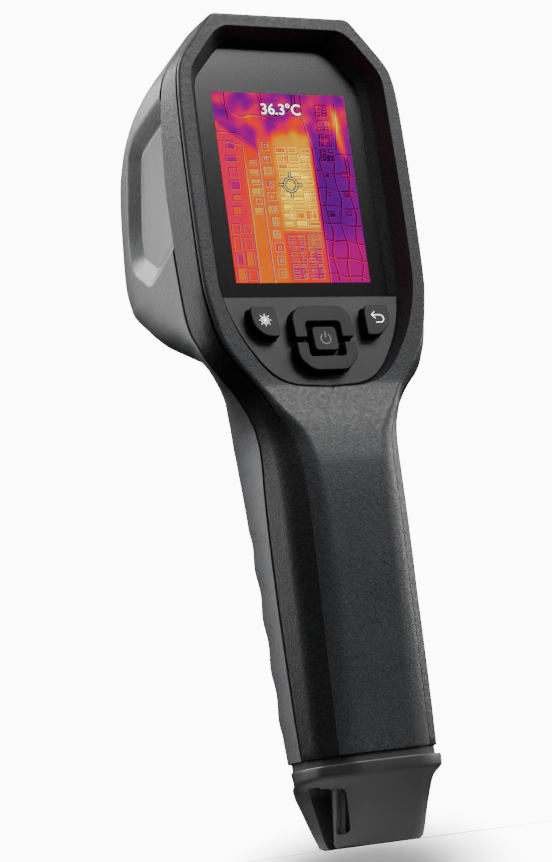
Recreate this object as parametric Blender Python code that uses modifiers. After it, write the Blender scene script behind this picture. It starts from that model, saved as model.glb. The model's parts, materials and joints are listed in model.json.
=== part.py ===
"""Handheld thermal imaging camera: a pistol grip that widens into a head with a screen and keys.

World frame in metres, +Z up. The foot of the end cap is at z = 0, the screen's plane is y = 0, the
operator is on the -Y side and the lens looks along +Y. The design numbers below are in millimetres.
"""

import math

import bmesh
import bpy
from mathutils import Matrix, Vector

MM = 0.001
GAP = 0.3

# Driving dimensions, in millimetres.
HEIGHT = 209.5
SHELL_BOTTOM = 21.6
WALL = 2.2
HEAD_SIDE_WALL = 4.6
SEAM_GAP = 0.4
RIM_PLANE = -7.0
LID_THICKNESS = 1.2
NOSE_CENTRE = 168.0
NOSE_RADIUS = 17.0
NOSE_FRONT = 68.5
LENS_CENTRE = 163.5
WINDOW_THICKNESS = 1.0
PANEL_THICKNESS = 1.6
PANEL_TILT = math.radians(7.1)
PANEL_FOOT = Vector((0.0, -5.6, 112.0))
KEY_HEIGHT = 3.0
BATTERY_RADIUS = 9.1
BATTERY_LOW = 26.5
BATTERY_HIGH = 91.5
BATTERY_CENTRE_Y = 6.6
RIDGE_PITCH = 12.8
RIDGE_DEPTH = 0.9
RIDGE_TOP = 71.0

# One line for each level of the body, from the grip's foot to the head's top: height, back plane,
# half width of the back plane, facet edge (x, y), seam (x, y), front plane, and how square the front is.
STATIONS = [
    (21.6, -9.4, 9.8, 16.2, -5.0, 17.8, 1.4, 24.6, 0.62),
    (26.6, -9.6, 9.8, 16.3, -5.2, 18.0, 1.6, 25.0, 0.62),
    (33.0, -9.9, 9.9, 16.4, -5.4, 18.0, 1.9, 26.0, 0.62),
    (39.4, -10.2, 9.9, 16.4, -5.6, 18.0, 2.1, 26.4, 0.62),
    (45.8, -10.5, 9.9, 16.5, -5.8, 18.0, 2.3, 27.0, 0.62),
    (52.2, -10.8, 9.9, 16.5, -6.0, 18.0, 2.5, 27.5, 0.62),
    (58.6, -11.1, 9.9, 16.5, -6.2, 18.0, 2.6, 28.0, 0.62),
    (65.0, -11.4, 9.9, 16.5, -6.4, 18.0, 2.6, 28.6, 0.62),
    (71.4, -11.7, 9.9, 16.6, -6.6, 18.0, 2.5, 29.4, 0.62),
    (78.0, -11.9, 10.0, 16.6, -6.8, 18.0, 2.3, 30.4, 0.62),
    (84.0, -12.0, 10.0, 16.6, -6.9, 18.0, 2.0, 31.6, 0.62),
    (91.0, -11.8, 10.1, 16.7, -6.8, 18.0, 1.3, 33.0, 0.62),
    (97.0, -11.0, 10.9, 17.0, -6.4, 18.3, 0.3, 34.0, 0.62),
    (102.0, -10.0, 13.2, 17.8, -5.8, 19.2, -0.4, 34.0, 0.60),
    (106.0, -8.8, 16.0, 19.2, -5.1, 20.7, -0.7, 33.0, 0.55),
    (109.5, -7.8, 17.9, 20.6, -4.7, 22.6, -0.9, 31.6, 0.48),
    (112.5, -7.0, 20.0, 22.8, -4.5, 24.6, -1.3, 30.6, 0.38),
    (115.5, -7.0, 22.4, 25.0, -4.5, 27.2, -1.7, 30.0, 0.28),
    (119.0, -7.0, 25.0, 27.6, -4.5, 29.4, -1.2, 30.2, 0.22),
    (123.5, -7.0, 27.6, 29.7, -4.3, 31.2, 0.0, 32.0, 0.30),
    (128.0, -7.0, 29.0, 30.7, -3.8, 31.8, 2.6, 36.5, 0.50),
    (133.0, -7.0, 30.0, 31.2, -3.4, 32.0, 4.2, 41.0, 0.75),
    (138.0, -7.0, 31.0, 31.6, -3.0, 32.0, 5.0, 44.8, 0.90),
    (145.5, -7.0, 31.2, 31.7, -3.0, 32.0, 5.8, 51.4, 1.0),
    (153.0, -7.0, 31.2, 31.7, -3.0, 32.0, 6.4, 54.0, 1.0),
    (165.0, -7.0, 31.3, 31.7, -3.0, 32.0, 6.8, 52.5, 1.0),
    (178.0, -7.0, 31.2, 31.6, -3.0, 32.0, 5.5, 49.4, 1.0),
    (186.0, -7.0, 31.0, 31.4, -3.2, 31.8, 4.3, 44.2, 1.0),
    (193.0, -7.0, 30.5, 30.8, -3.4, 31.1, 3.1, 35.4, 1.0),
    (197.0, -7.0, 29.2, 29.4, -3.5, 29.6, 2.2, 26.2, 1.0),
    (200.5, -7.0, 26.8, 27.1, -3.5, 27.4, 1.8, 20.4, 1.0),
    (205.5, -7.0, 22.7, 23.1, -3.5, 23.5, 1.6, 15.2, 1.0),
    (209.5, -7.0, 18.4, 18.6, -3.5, 18.8, 1.2, 11.8, 1.0),
]

# Half outlines of the bezel's opening, top to bottom: lip at the rim, foot of the steep wall, window.
LIP = [(15.4, 206.1), (19.2, 204.3), (26.2, 195.6), (27.2, 192.6), (27.6, 175.0), (27.8, 155.0), (27.5, 138.0),
       (25.9, 131.0), (23.0, 124.0), (18.6, 117.4), (14.2, 112.8), (8.0, 111.6)]
STEP = [(14.4, 203.2), (17.8, 201.4), (24.0, 194.8), (25.0, 191.8), (25.6, 175.0), (25.9, 155.0), (25.6, 138.0),
        (23.9, 131.0), (21.3, 124.2), (17.0, 117.2), (12.6, 113.2), (8.0, 112.0)]
GLASS = [(12.6, 202.7), (15.0, 201.2), (22.2, 193.2), (23.2, 190.6), (23.6, 175.0), (23.6, 155.0), (23.6, 138.0),
         (23.9, 131.0), (21.3, 124.2), (17.0, 117.2), (12.6, 113.2), (8.0, 112.0)]
GLASS_CORNERS = 4
WINDOW_FOOT = 136.3
WINDOW_HALF = 23.6

# Half outline of the key panel and the keys, as (x, distance up the panel from its foot).
PANEL = [(24.6, 24.0), (24.0, 21.0), (20.9, 12.4), (16.7, 5.4), (12.3, 1.4), (7.8, 0.2)]
SIDE_KEY = [(12.2, 12.2), (16.0, 12.3), (18.7, 14.9), (19.2, 18.2), (19.0, 20.1), (13.0, 20.1), (12.3, 18.4)]
UP_KEY = [(8.2, 11.9), (8.2, 17.8), (5.9, 20.1), (-5.9, 20.1), (-8.2, 17.8), (-8.2, 11.9),
          (-4.8, 11.9), (-4.8, 16.1), (4.8, 16.1), (4.8, 11.9)]
DOWN_KEY = [(8.2, 10.6), (8.2, 6.4), (4.7, 3.1), (-4.7, 3.1), (-8.2, 6.4), (-8.2, 10.6),
            (-5.0, 10.6), (-5.0, 6.9), (5.0, 6.9), (5.0, 10.6)]
POWER_KEY = [(3.3, 8.4), (3.3, 14.6), (-3.3, 14.6), (-3.3, 8.4)]
KEY_CENTRES = {"light_button": (-15.8, 16.4), "back_button": (15.8, 16.4), "up_button": (0.0, 18.1),
               "down_button": (0.0, 5.0), "power_button": (0.0, 11.5)}

# Wing shaped dish on each flank of the head, as (y, z), and its floor.
WING = [(3.0, 190.4), (9.0, 190.0), (24.6, 187.0), (28.6, 184.4), (35.2, 163.4), (35.0, 154.6), (22.4, 146.0),
        (16.6, 148.4), (3.0, 152.0)]
WING_FLOOR_SCALE = 0.82
WING_DEPTH = 1.9

TRIGGER_PIVOT = (27.0, 110.5)
TRIGGER_OUTLINE = [(28.6, 113.6), (32.8, 112.6), (36.6, 108.0), (38.0, 101.0), (38.0, 95.0), (39.2, 90.6),
                   (38.2, 88.6), (34.8, 88.8), (32.6, 93.0), (30.8, 97.6), (23.0, 98.4), (22.8, 104.0), (24.2, 112.0)]
TRIGGER_HALF = 5.9
TRIGGER_PIN_RADIUS = 1.0
SPRING_TURNS = 3
SPRING_RADIUS = 1.2
SPRING_WIRE = 0.25
SPRING_AXIS_HEIGHT = 99.9
SPRING_START = 19.1
SPRING_LENGTH = 3.3

FLAP_HINGE = (9.05, 208.95)
FLAP_HALF = 7.2
FLAP_BACK = 2.9
FLAP_THICKNESS = 1.1
FLAP_PIN_RADIUS = 0.3

# The shutter flag swings on its motor, between the sensor and the lens.
FLAG_PIVOT = (9.0, 174.5)
FLAG_OPEN = math.radians(34.0)
FLAG_REACH = 14.2
FLAG_FRONT = 49.1
FLAG_THICKNESS = 0.6

# The picture camera and the pointer look out side by side, above the infrared lens.
EYE_X = 6.2
EYE_HEIGHT = 178.0
LAMP_HEIGHT = 144.6

# Case screws, as (x, z, the height of the shell over them along y).
SCREW_PLACES = [(-19.0, 189.0, 36.0), (19.0, 189.0, 36.0), (-19.0, 136.0, 37.0), (19.0, 136.0, 37.0)]

# The end cap's levels, listed as the body's are.
CAP_STATIONS = [
    (0.0, -2.0, 8.0, 11.6, 0.4, 12.2, 4.0, 12.8, 1.0),
    (1.4, -3.0, 8.6, 12.6, 0.2, 13.2, 4.0, 14.0, 1.0),
    (8.0, -6.0, 9.2, 14.4, -2.2, 15.2, 3.2, 17.4, 0.8),
    (14.6, -8.7, 9.6, 15.9, -4.4, 16.9, 2.2, 20.4, 0.7),
    (16.2, -9.8, 9.9, 16.6, -5.3, 17.6, 1.8, 22.0, 0.65),
    (19.6, -10.0, 10.0, 16.8, -5.4, 17.7, 1.6, 23.4, 0.62),
]

# A lanyard loops round a bar at the cap's left rear corner: a slot behind the bar, a pocket in front of it
# and a short tunnel that joins them. Each is an outline in y and z with the span of x that it is cut through.
LANYARD_CUTS = [
    ([(-6.6, 14.0), (-3.2, 14.0), (0.4, 3.4), (-2.9, 3.4)], -22.0, -9.8),
    ([(-1.2, 15.2), (2.2, 15.2), (3.6, 13.8), (3.6, -2.0), (2.4, -2.0)], -22.0, -9.8),
    ([(-4.0, 13.9), (0.6, 13.9), (3.0, 3.5), (-0.4, 3.5)], -12.2, -9.9),
]

TRIPOD_CENTRE = (0.0, 6.6)
TRIPOD_RADIUS = 3.6
THREAD_RADIUS = 2.55
THREAD_DEPTH = 9.0


def clear_scene():
    """Removes whatever objects and collections the file already holds."""
    for item in list(bpy.data.objects):
        bpy.data.objects.remove(item, do_unlink=True)
    for group in list(bpy.data.collections):
        bpy.data.collections.remove(group)


def make_collection(name):
    group = bpy.data.collections.new(name)
    bpy.context.scene.collection.children.link(group)
    return group


clear_scene()
PARTS = make_collection("thermal_imaging_camera")
CUTTERS = make_collection("cutters")


def make_material(name, colour, roughness, metallic=0.0, alpha=1.0):
    material = bpy.data.materials.new(name)
    material.use_nodes = True
    shader = material.node_tree.nodes["Principled BSDF"]
    shader.inputs["Base Color"].default_value = (*colour, 1.0)
    shader.inputs["Roughness"].default_value = roughness
    shader.inputs["Metallic"].default_value = metallic
    shader.inputs["Alpha"].default_value = alpha
    material.diffuse_color = (*colour, alpha)
    return material


def finish(item, colour, roughness, metallic=0.0, alpha=1.0):
    """Puts an object among the parts, with a material of its own."""
    for group in list(item.users_collection):
        group.objects.unlink(item)
    PARTS.objects.link(item)
    item.data.materials.clear()
    item.data.materials.append(make_material(item.name, colour, roughness, metallic, alpha))
    item.data.shade_smooth()
    item.data.set_sharp_from_angle(angle=math.radians(32.0))
    return item


def as_object(name, mesh_maker):
    """Makes an object whose bmesh is filled in by the given function, in millimetres."""
    mesh = bpy.data.meshes.new(name)
    shape = bmesh.new()
    mesh_maker(shape)
    bmesh.ops.recalc_face_normals(shape, faces=shape.faces)
    bmesh.ops.scale(shape, vec=(MM, MM, MM), verts=shape.verts)
    shape.to_mesh(mesh)
    shape.free()
    item = bpy.data.objects.new(name, mesh)
    CUTTERS.objects.link(item)
    return item


def box(name, low, high, bevel=0.0):
    size = [high[i] - low[i] for i in range(3)]
    centre = [(high[i] + low[i]) / 2 for i in range(3)]

    def fill(shape):
        bmesh.ops.create_cube(shape, size=1.0, matrix=Matrix.Translation(centre) @ Matrix.Diagonal((*size, 1.0)))
        if bevel:
            bmesh.ops.bevel(shape, geom=list(shape.edges), offset=bevel, segments=2, profile=0.5, affect="EDGES")

    return as_object(name, fill)


AXIS_TURN = {"X": Matrix.Rotation(math.radians(90), 4, "Y"), "Y": Matrix.Rotation(math.radians(-90), 4, "X"),
             "Z": Matrix.Identity(4)}


def rod(name, radius, start, length, axis, segments=24, end_radius=None):
    """A cylinder, or a cone frustum, that runs from start for length along +axis."""
    far = radius if end_radius is None else end_radius
    along = {"X": Vector((1, 0, 0)), "Y": Vector((0, 1, 0)), "Z": Vector((0, 0, 1))}[axis]
    place = Matrix.Translation(Vector(start) + along * (length / 2)) @ AXIS_TURN[axis]

    def fill(shape):
        bmesh.ops.create_cone(shape, cap_ends=True, segments=segments, radius1=radius, radius2=far, depth=length,
                              matrix=place)

    return as_object(name, fill)


def plate(name, outline, low, high, frame):
    """A flat outline given thickness: frame(u, v, w) turns outline and depth into a point."""
    curve = bpy.data.curves.new(name + "_outline", "CURVE")
    curve.dimensions = "2D"
    curve.fill_mode = "BOTH"
    curve.extrude = (high - low) / 2
    line = curve.splines.new("POLY")
    line.points.add(len(outline) - 1)
    for point, (u, v) in zip(line.points, outline):
        point.co = (u, v, 0.0, 1.0)
    line.use_cyclic_u = True
    guide = bpy.data.objects.new(name + "_guide", curve)
    CUTTERS.objects.link(guide)
    bpy.context.view_layer.update()
    mesh = bpy.data.meshes.new_from_object(guide.evaluated_get(bpy.context.evaluated_depsgraph_get()))
    bpy.data.objects.remove(guide, do_unlink=True)
    shape = bmesh.new()
    shape.from_mesh(mesh)
    bmesh.ops.remove_doubles(shape, verts=shape.verts, dist=0.0001)
    middle = (low + high) / 2
    for vertex in shape.verts:
        vertex.co = frame(vertex.co.x, vertex.co.y, vertex.co.z + middle) * MM
    bmesh.ops.recalc_face_normals(shape, faces=shape.faces)
    shape.to_mesh(mesh)
    shape.free()
    mesh.name = name
    item = bpy.data.objects.new(name, mesh)
    CUTTERS.objects.link(item)
    return item


def facing_y(u, v, w):
    """Outline in x and z, depth along y."""
    return Vector((u, w, v))


def facing_x(u, v, w):
    """Outline in y and z, depth along x."""
    return Vector((w, u, v))


def on_panel(u, v, w):
    """Outline across and up the key panel, depth out of it towards the operator."""
    up = Vector((0.0, math.sin(PANEL_TILT), math.cos(PANEL_TILT)))
    out = Vector((0.0, -math.cos(PANEL_TILT), math.sin(PANEL_TILT)))
    return PANEL_FOOT + Vector((u, 0.0, 0.0)) + up * v + out * w


def loft(name, rings):
    """Skins closed rings of equal count, with flat ends."""

    def fill(shape):
        rows = [[shape.verts.new(point) for point in ring] for ring in rings]
        count = len(rows[0])
        for lower, upper in zip(rows, rows[1:]):
            for i in range(count):
                j = (i + 1) % count
                shape.faces.new((lower[i], lower[j], upper[j], upper[i]))
        shape.faces.new(rows[0])
        shape.faces.new(rows[-1])

    return as_object(name, fill)


def set_origin(item, point):
    """Puts a moving piece's origin on its joint's axis, and leaves the piece where it is."""
    place = Vector(point) * MM
    item.data.transform(Matrix.Translation(-place))
    item.location = place
    return item


def combine(target, tool, operation):
    """Applies a Boolean of the tool to the target and removes the tool."""
    modifier = target.modifiers.new("shape", "BOOLEAN")
    modifier.operation = operation
    modifier.solver = "EXACT"
    modifier.object = tool
    bpy.context.view_layer.update()
    mesh = bpy.data.meshes.new_from_object(target.evaluated_get(bpy.context.evaluated_depsgraph_get()))
    target.modifiers.clear()
    target.data = mesh
    bpy.data.objects.remove(tool, do_unlink=True)
    return target


def cut(target, tool):
    return combine(target, tool, "DIFFERENCE")


def join(target, tool):
    return combine(target, tool, "UNION")


def keep(target, tool):
    return combine(target, tool, "INTERSECT")


def both_sides(half):
    """Closes a half outline, listed on +X, with its mirror image."""
    return list(half) + [(-u, v) for u, v in reversed(half)]


def grow(outline, amount):
    """Moves every edge of a closed outline outwards by the same amount."""
    area = sum(a[0] * b[1] - b[0] * a[1] for a, b in zip(outline, outline[1:] + outline[:1]))
    turn = 1.0 if area > 0 else -1.0
    moved = []
    for i, here in enumerate(outline):
        before = Vector(here) - Vector(outline[i - 1])
        after = Vector(outline[(i + 1) % len(outline)]) - Vector(here)
        first = Vector((before.y, -before.x)).normalized() * turn
        second = Vector((after.y, -after.x)).normalized() * turn
        middle = (first + second).normalized()
        moved.append(tuple(Vector(here) + middle * (amount / max(middle.dot(first), 0.3))))
    return moved


def ridge(height):
    """Finger ridges along the front of the grip."""
    if height < 29.0 or height > 82.0:
        return 0.0
    return RIDGE_DEPTH * math.cos(2 * math.pi * (height - RIDGE_TOP) / RIDGE_PITCH)


def body_ring(station, inset=0.0, side_inset=None, level=None, open_back=0.0):
    """One level of the body's outside, or of its inside when it is inset. An open back runs out behind it."""
    height, back, ridge_x, facet_x, facet_y, seam_x, seam_y, front, square = station
    side = inset if side_inset is None else side_inset
    front = front + ridge(height) - inset
    half = [(ridge_x - inset * 0.6, back + inset), (facet_x - inset, facet_y + inset * 0.4), (seam_x - inset, seam_y)]
    if open_back:
        half.insert(0, (ridge_x - inset * 0.6, back - open_back))
    steps = 7
    reach = seam_x - side
    for i in range(0 if side != inset else 1, steps):
        t = i / steps
        x = reach * ((1 - t) ** 3 + 3 * (1 - t) ** 2 * t + 3 * (1 - t) * t * t * square)
        y = (front - seam_y) * (3 * (1 - t) ** 2 * t * square + 3 * (1 - t) * t * t + t ** 3) + seam_y
        if i == 0:
            y += 0.8
        half.append((x, y))
    z = height if level is None else level
    right = [(x, y, z) for x, y in half] + [(0.0, front, z)]
    left = [(-x, y, z) for x, y in reversed(half)]
    return right + left


def outer_body():
    return loft("body_outside", [body_ring(station) for station in STATIONS])


def inner_body(open_back=0.0):
    """The hollow inside the shells, open at the grip's foot. The head's flanks are thicker."""
    rings = [body_ring(STATIONS[0], WALL, WALL + 0.01, SHELL_BOTTOM - 3, open_back)]
    for station in STATIONS[:-1]:
        share = min(1.0, max(0.0, (station[0] - 112.0) / 26.0))
        side = WALL + 0.01 + (HEAD_SIDE_WALL - WALL) * share
        rings.append(body_ring(station, WALL, side, station[0], open_back))
    top = STATIONS[-1]
    rings.append(body_ring(top, WALL, HEAD_SIDE_WALL, top[0] - WALL, open_back))
    return loft("body_inside", rings)


def seam_profile(pick, front_offset):
    """A region that reaches from behind the body to a seam, swept right across it."""
    line = [(pick(s) + front_offset, s[0]) for s in STATIONS]
    line = [(line[0][0], 0.0)] + line + [(line[-1][0], HEIGHT + 10)]
    back = [(-40.0, HEIGHT + 10), (-40.0, 0.0)]
    return plate("seam_region", line + back, -45.0, 45.0, facing_x)


def front_seam(station):
    return station[6]


def rear_seam(station):
    return station[1] + LID_THICKNESS + SEAM_GAP / 2


def ring_at(half, depth):
    """An opening's outline, put at a depth that may follow the key panel's slope."""
    points = []
    for x, z in both_sides(half):
        points.append((x, depth(z), z))
    return points


def step_depth(z):
    """Depth of the foot of the bezel's steep wall: level beside the window, then along the panel."""
    if z > 137.0:
        return -2.0
    return -5.6 + (z - 112.0) * math.tan(PANEL_TILT)


def make_rear_bezel(outer):
    """The rim round the screen and keys, with its sunk wall, and the grip's back strip."""
    bezel = cut_copy(outer, "rear_bezel")
    keep(bezel, seam_profile(rear_seam, -SEAM_GAP / 2))
    tub = loft("tub", [
        ring_at([(x + 0.7, z + (0.7 if z > 190 else 0.0)) for x, z in LIP], lambda z: -6.2),
        ring_at([(x + 1.6, z + (1.6 if z > 190 else 0.0)) for x, z in STEP], lambda z: -2.0),
        ring_at([(x + 1.6, z + (1.6 if z > 190 else 0.0)) for x, z in STEP], lambda z: -0.2)])
    join(bezel, tub)
    opening = loft("opening", [
        ring_at(LIP, lambda z: RIM_PLANE - 2.0),
        ring_at(LIP, lambda z: RIM_PLANE),
        ring_at(STEP, step_depth),
        ring_at(GLASS, lambda z: -0.3 if z > 137.0 else -0.25),
        ring_at(GLASS, lambda z: 3.0)])
    cut(bezel, opening)
    return finish(bezel, (0.045, 0.047, 0.05), 0.62)


def cut_copy(source, name):
    item = bpy.data.objects.new(name, source.data.copy())
    CUTTERS.objects.link(item)
    return item


def make_mid_frame(outer):
    """The ring between the rear bezel and the front housing."""
    frame = cut_copy(outer, "mid_frame")
    cut(frame, inner_body(3.0))
    keep(frame, seam_profile(front_seam, -SEAM_GAP / 2))
    cut(frame, seam_profile(rear_seam, SEAM_GAP / 2))
    return finish(frame, (0.05, 0.052, 0.055), 0.6)


def make_front_housing(outer, inner):
    """The big front shell: flanks, nose opening, chin and the grip's finger ridges."""
    housing = cut_copy(outer, "front_housing")
    cut(housing, cut_copy(inner, "hollow"))
    cut(housing, seam_profile(front_seam, SEAM_GAP / 2))
    for side in (-1.0, 1.0):
        cut(housing, wing_cutter(side))
    for x, z, top in SCREW_PLACES:
        join(housing, rod("boss", 3.4, (x, top - 15.0, z), 14.0, "Y", 16))
        cut(housing, rod("counterbore", 2.9, (x, top - 3.2, z), 30.0, "Y", 20))
        cut(housing, rod("screw_way", 1.6, (x, top - 22.0, z), 30.0, "Y", 16))
    cut(housing, rod("nose_way", NOSE_RADIUS + GAP, (0.0, 36.0, NOSE_CENTRE), 40.0, "Y", 48))
    cut(housing, rod("lamp_way", 4.1, (0.0, 40.0, LAMP_HEIGHT), 30.0, "Y", 28))
    join(housing, box("ears", (-9.1, 23.4, 107.1), (9.1, 29.6, 113.9)))
    cut(housing, box("trigger_way", (-6.4, 16.0, 86.8), (6.4, 50.0, 115.0)))
    cut(housing, rod("pin_way", 1.3, (-9.0, TRIGGER_PIVOT[0], TRIGGER_PIVOT[1]), 18.0, "X", 16))
    cut(housing, box("flap_dish", (-7.6, 2.6, HEIGHT - 1.6), (7.6, 10.4, HEIGHT + 2)))
    cut(housing, rod("flap_pin_seat", 0.4, (-8.9, FLAP_HINGE[0], FLAP_HINGE[1]), 17.8, "X", 12))
    cut(housing, box("port_way", (-4.9, 3.4, HEIGHT - 6.0), (4.9, 7.4, HEIGHT + 2), 0.0))
    return finish(housing, (0.075, 0.078, 0.083), 0.55)


def wing_cutter(side):
    """A dish with sloping walls, sunk into one flank of the head."""
    middle = Vector((19.0, 168.0))
    floor = [tuple(middle + (Vector(p) - middle) * WING_FLOOR_SCALE) for p in WING]
    rings = []
    for outline, x in ((WING, 40.0), (WING, 31.9), (floor, 32.0 - WING_DEPTH)):
        rings.append([(side * x, y, z) for y, z in outline])
    return loft("wing", rings)


def make_screws():
    for number, (x, z, top) in enumerate(SCREW_PLACES, 1):
        screw = rod(f"case_screw_{number}", 2.5, (x, top - 2.9, z), 2.0, "Y", 20)
        join(screw, rod("shank", 1.25, (x, top - 14.6, z), 12.0, "Y", 14))
        cut(screw, rod("hex_socket", 1.2, (x, top - 1.9, z), 3.0, "Y", 6))
        finish(screw, (0.5, 0.5, 0.52), 0.35, 0.9)


def make_end_cap():
    """The foot: a tapered cap with a flange, a spigot and a lanyard pocket at its left rear corner."""
    cap = loft("end_cap", [body_ring(station) for station in CAP_STATIONS])
    spigot_low = body_ring(STATIONS[0], WALL + GAP, WALL + GAP, level=19.0)
    spigot_high = body_ring(STATIONS[0], WALL + GAP, WALL + GAP, level=24.6)
    join(cap, loft("spigot", [spigot_low, spigot_high]))
    for outline, low, high in LANYARD_CUTS:
        cut(cap, plate("lanyard_cut", outline, low, high, facing_x))
    cut(cap, rod("tripod_way", TRIPOD_RADIUS + GAP, (*TRIPOD_CENTRE, -2.0), 14.0, "Z", 28))
    return finish(cap, (0.03, 0.031, 0.033), 0.5)


def make_tripod_insert():
    insert = rod("tripod_insert", TRIPOD_RADIUS, (*TRIPOD_CENTRE, 0.4), 11.0, "Z", 28)
    cut(insert, rod("thread_bore", THREAD_RADIUS, (*TRIPOD_CENTRE, 0.4 - 1.0), THREAD_DEPTH + 1.0, "Z", 24))
    finish(insert, (0.72, 0.55, 0.3), 0.35, 1.0)


def make_end_cap_gasket():
    ring = loft("end_cap_gasket", [body_ring(STATIONS[0], 0.9, 0.9, level=level) for level in (19.9, 21.3)])
    hole = loft("gasket_hole", [body_ring(STATIONS[0], WALL, WALL, level=level) for level in (18.0, 23.0)])
    cut(ring, hole)
    finish(ring, (0.02, 0.02, 0.022), 0.8)


def make_display():
    """Window, gasket, panel and tray, one behind the other."""
    glass = GLASS[:GLASS_CORNERS] + [(WINDOW_HALF, WINDOW_FOOT)]
    outline = grow(both_sides(glass), 1.0)
    window = plate("display_window", outline, 0.15, 0.15 + WINDOW_THICKNESS, facing_y)
    finish(window, (0.02, 0.02, 0.022), 0.08, 0.0, 0.4)
    gasket = plate("window_gasket", grow(both_sides(glass), 0.6), 1.45, 1.95, facing_y)
    cut(gasket, plate("gasket_hole", grow(both_sides(glass), -1.4), 0.0, 4.0, facing_y))
    finish(gasket, (0.015, 0.015, 0.016), 0.85)
    finish(box("lcd_panel", (-21.2, 2.25, 137.0), (21.2, 4.25, 195.4), 0.15), (0.03, 0.02, 0.05), 0.25)
    tray = box("lcd_tray", (-22.6, 2.25, 135.6), (22.6, 5.6, 196.8))
    cut(tray, box("tray_hollow", (-21.5, 0.0, 136.7), (21.5, 4.55, 195.7)))
    finish(tray, (0.5, 0.51, 0.52), 0.4, 0.9)


def key_outline(name):
    outlines = {"back_button": SIDE_KEY, "light_button": [(-u, v) for u, v in SIDE_KEY],
                "up_button": UP_KEY, "down_button": DOWN_KEY, "power_button": POWER_KEY}
    return outlines[name]


def make_keypad():
    """Panel, the five keys that slide through it, and the sheet, domes and board behind them."""
    panel = plate("keypad_panel", both_sides(PANEL), -PANEL_THICKNESS, 0.0, on_panel)
    for name in KEY_CENTRES:
        cut(panel, plate("key_way", grow(key_outline(name), 0.35), -4.0, 3.0, on_panel))
    finish(panel, (0.06, 0.062, 0.066), 0.5)
    for name in KEY_CENTRES:
        key = plate(name, key_outline(name), -PANEL_THICKNESS, KEY_HEIGHT, on_panel)
        set_origin(key, on_panel(*KEY_CENTRES[name], 0.0))
        finish(key, (0.05, 0.051, 0.055), 0.5)
    sheet = [(23.6, 23.0), (23.0, 20.8), (19.4, 12.4), (15.2, 5.4), (11.2, 2.0), (7.4, 1.0)]
    finish(plate("keypad_membrane", both_sides(sheet), -3.2, -2.6, on_panel), (0.1, 0.1, 0.11), 0.8)
    finish(plate("keypad_board", both_sides(sheet), -5.3, -4.3, on_panel), (0.02, 0.12, 0.05), 0.5)
    for number, (u, v) in enumerate(KEY_CENTRES.values(), 1):
        rows = []
        for radius, depth in ((2.0, -4.0), (1.2, -3.6)):
            rows.append([tuple(on_panel(u + radius * math.cos(a), v + radius * math.sin(a), depth))
                         for a in (i * math.pi / 8 for i in range(16))])
        finish(loft(f"key_dome_{number}", rows), (0.7, 0.7, 0.72), 0.3, 1.0)


def make_boards():
    board = box("main_board", (-23.4, 8.6, 141.0), (23.4, 10.0, 197.0))
    finish(board, (0.02, 0.13, 0.05), 0.5)
    finish(box("board_shield", (-15.0, 10.3, 150.0), (15.0, 13.4, 182.0), 0.3), (0.62, 0.62, 0.64), 0.35, 0.95)
    finish(box("usb_receptacle", (-4.5, 3.8, 198.6), (4.5, 7.0, 207.6)), (0.6, 0.6, 0.62), 0.3, 0.95)


def make_usb_flap():
    y, z = FLAP_HINGE
    flap = box("usb_flap", (-FLAP_HALF, FLAP_BACK, HEIGHT - FLAP_THICKNESS), (FLAP_HALF, y + 0.55, HEIGHT), 0.15)
    cut(flap, rod("flap_pin_way", FLAP_PIN_RADIUS + 0.08, (-9.0, y, z), 18.0, "X", 12))
    set_origin(flap, (0.0, y, z))
    finish(flap, (0.04, 0.041, 0.043), 0.7)
    finish(rod("usb_flap_pin", FLAP_PIN_RADIUS, (-8.5, y, z), 17.0, "X", 12), (0.55, 0.55, 0.57), 0.3, 0.9)


def make_nose():
    """The round nose that carries the lens, the picture camera and the pointer."""
    nose = rod("nose_barrel", NOSE_RADIUS, (0.0, 38.0, NOSE_CENTRE), NOSE_FRONT - 38.0 - 1.2, "Y", 48)
    join(nose, rod("nose_lip", NOSE_RADIUS, (0.0, NOSE_FRONT - 1.2, NOSE_CENTRE), 1.2, "Y", 48, NOSE_RADIUS - 1.2))
    cut(nose, rod("nose_hollow", NOSE_RADIUS - 2.0, (0.0, 30.0, NOSE_CENTRE), 35.0, "Y", 40))
    cut(nose, rod("lens_way", 9.3, (0.0, 60.0, LENS_CENTRE), 12.0, "Y", 36))
    cut(nose, rod("camera_way", 2.9, (-EYE_X, 60.0, EYE_HEIGHT), 12.0, "Y", 20))
    cut(nose, rod("pointer_way", 2.4, (EYE_X, 60.0, EYE_HEIGHT), 12.0, "Y", 20))
    finish(nose, (0.02, 0.02, 0.022), 0.4)
    holder = rod("ir_lens_holder", 9.0, (0.0, 50.5, LENS_CENTRE), 16.5, "Y", 32)
    cut(holder, rod("holder_bore", 7.5, (0.0, 48.0, LENS_CENTRE), 30.0, "Y", 32))
    finish(holder, (0.03, 0.03, 0.032), 0.35, 0.6)
    lens_profile = [(0.0, 64.0), (3.4, 63.7), (6.0, 62.9), (7.1, 62.2), (7.1, 59.6), (0.0, 59.6)]
    finish(turned("ir_lens", lens_profile, LENS_CENTRE), (0.35, 0.34, 0.38), 0.1, 0.8)


def turned(name, profile, centre_z):
    """A lens turned about an axis along Y, from (radius, y) pairs listed front to back."""
    mesh = bpy.data.meshes.new(name)
    points = [(radius * MM, 0.0, y * MM) for radius, y in profile]
    mesh.from_pydata(points, [(i, i + 1) for i in range(len(points) - 1)], [])
    item = bpy.data.objects.new(name, mesh)
    CUTTERS.objects.link(item)
    screw = item.modifiers.new("turn", "SCREW")
    screw.steps = 32
    screw.render_steps = 32
    screw.use_merge_vertices = True
    screw.merge_threshold = 0.00001
    item.rotation_euler = (math.radians(-90), 0.0, 0.0)
    item.location = (0.0, 0.0, centre_z * MM)
    return item


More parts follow.
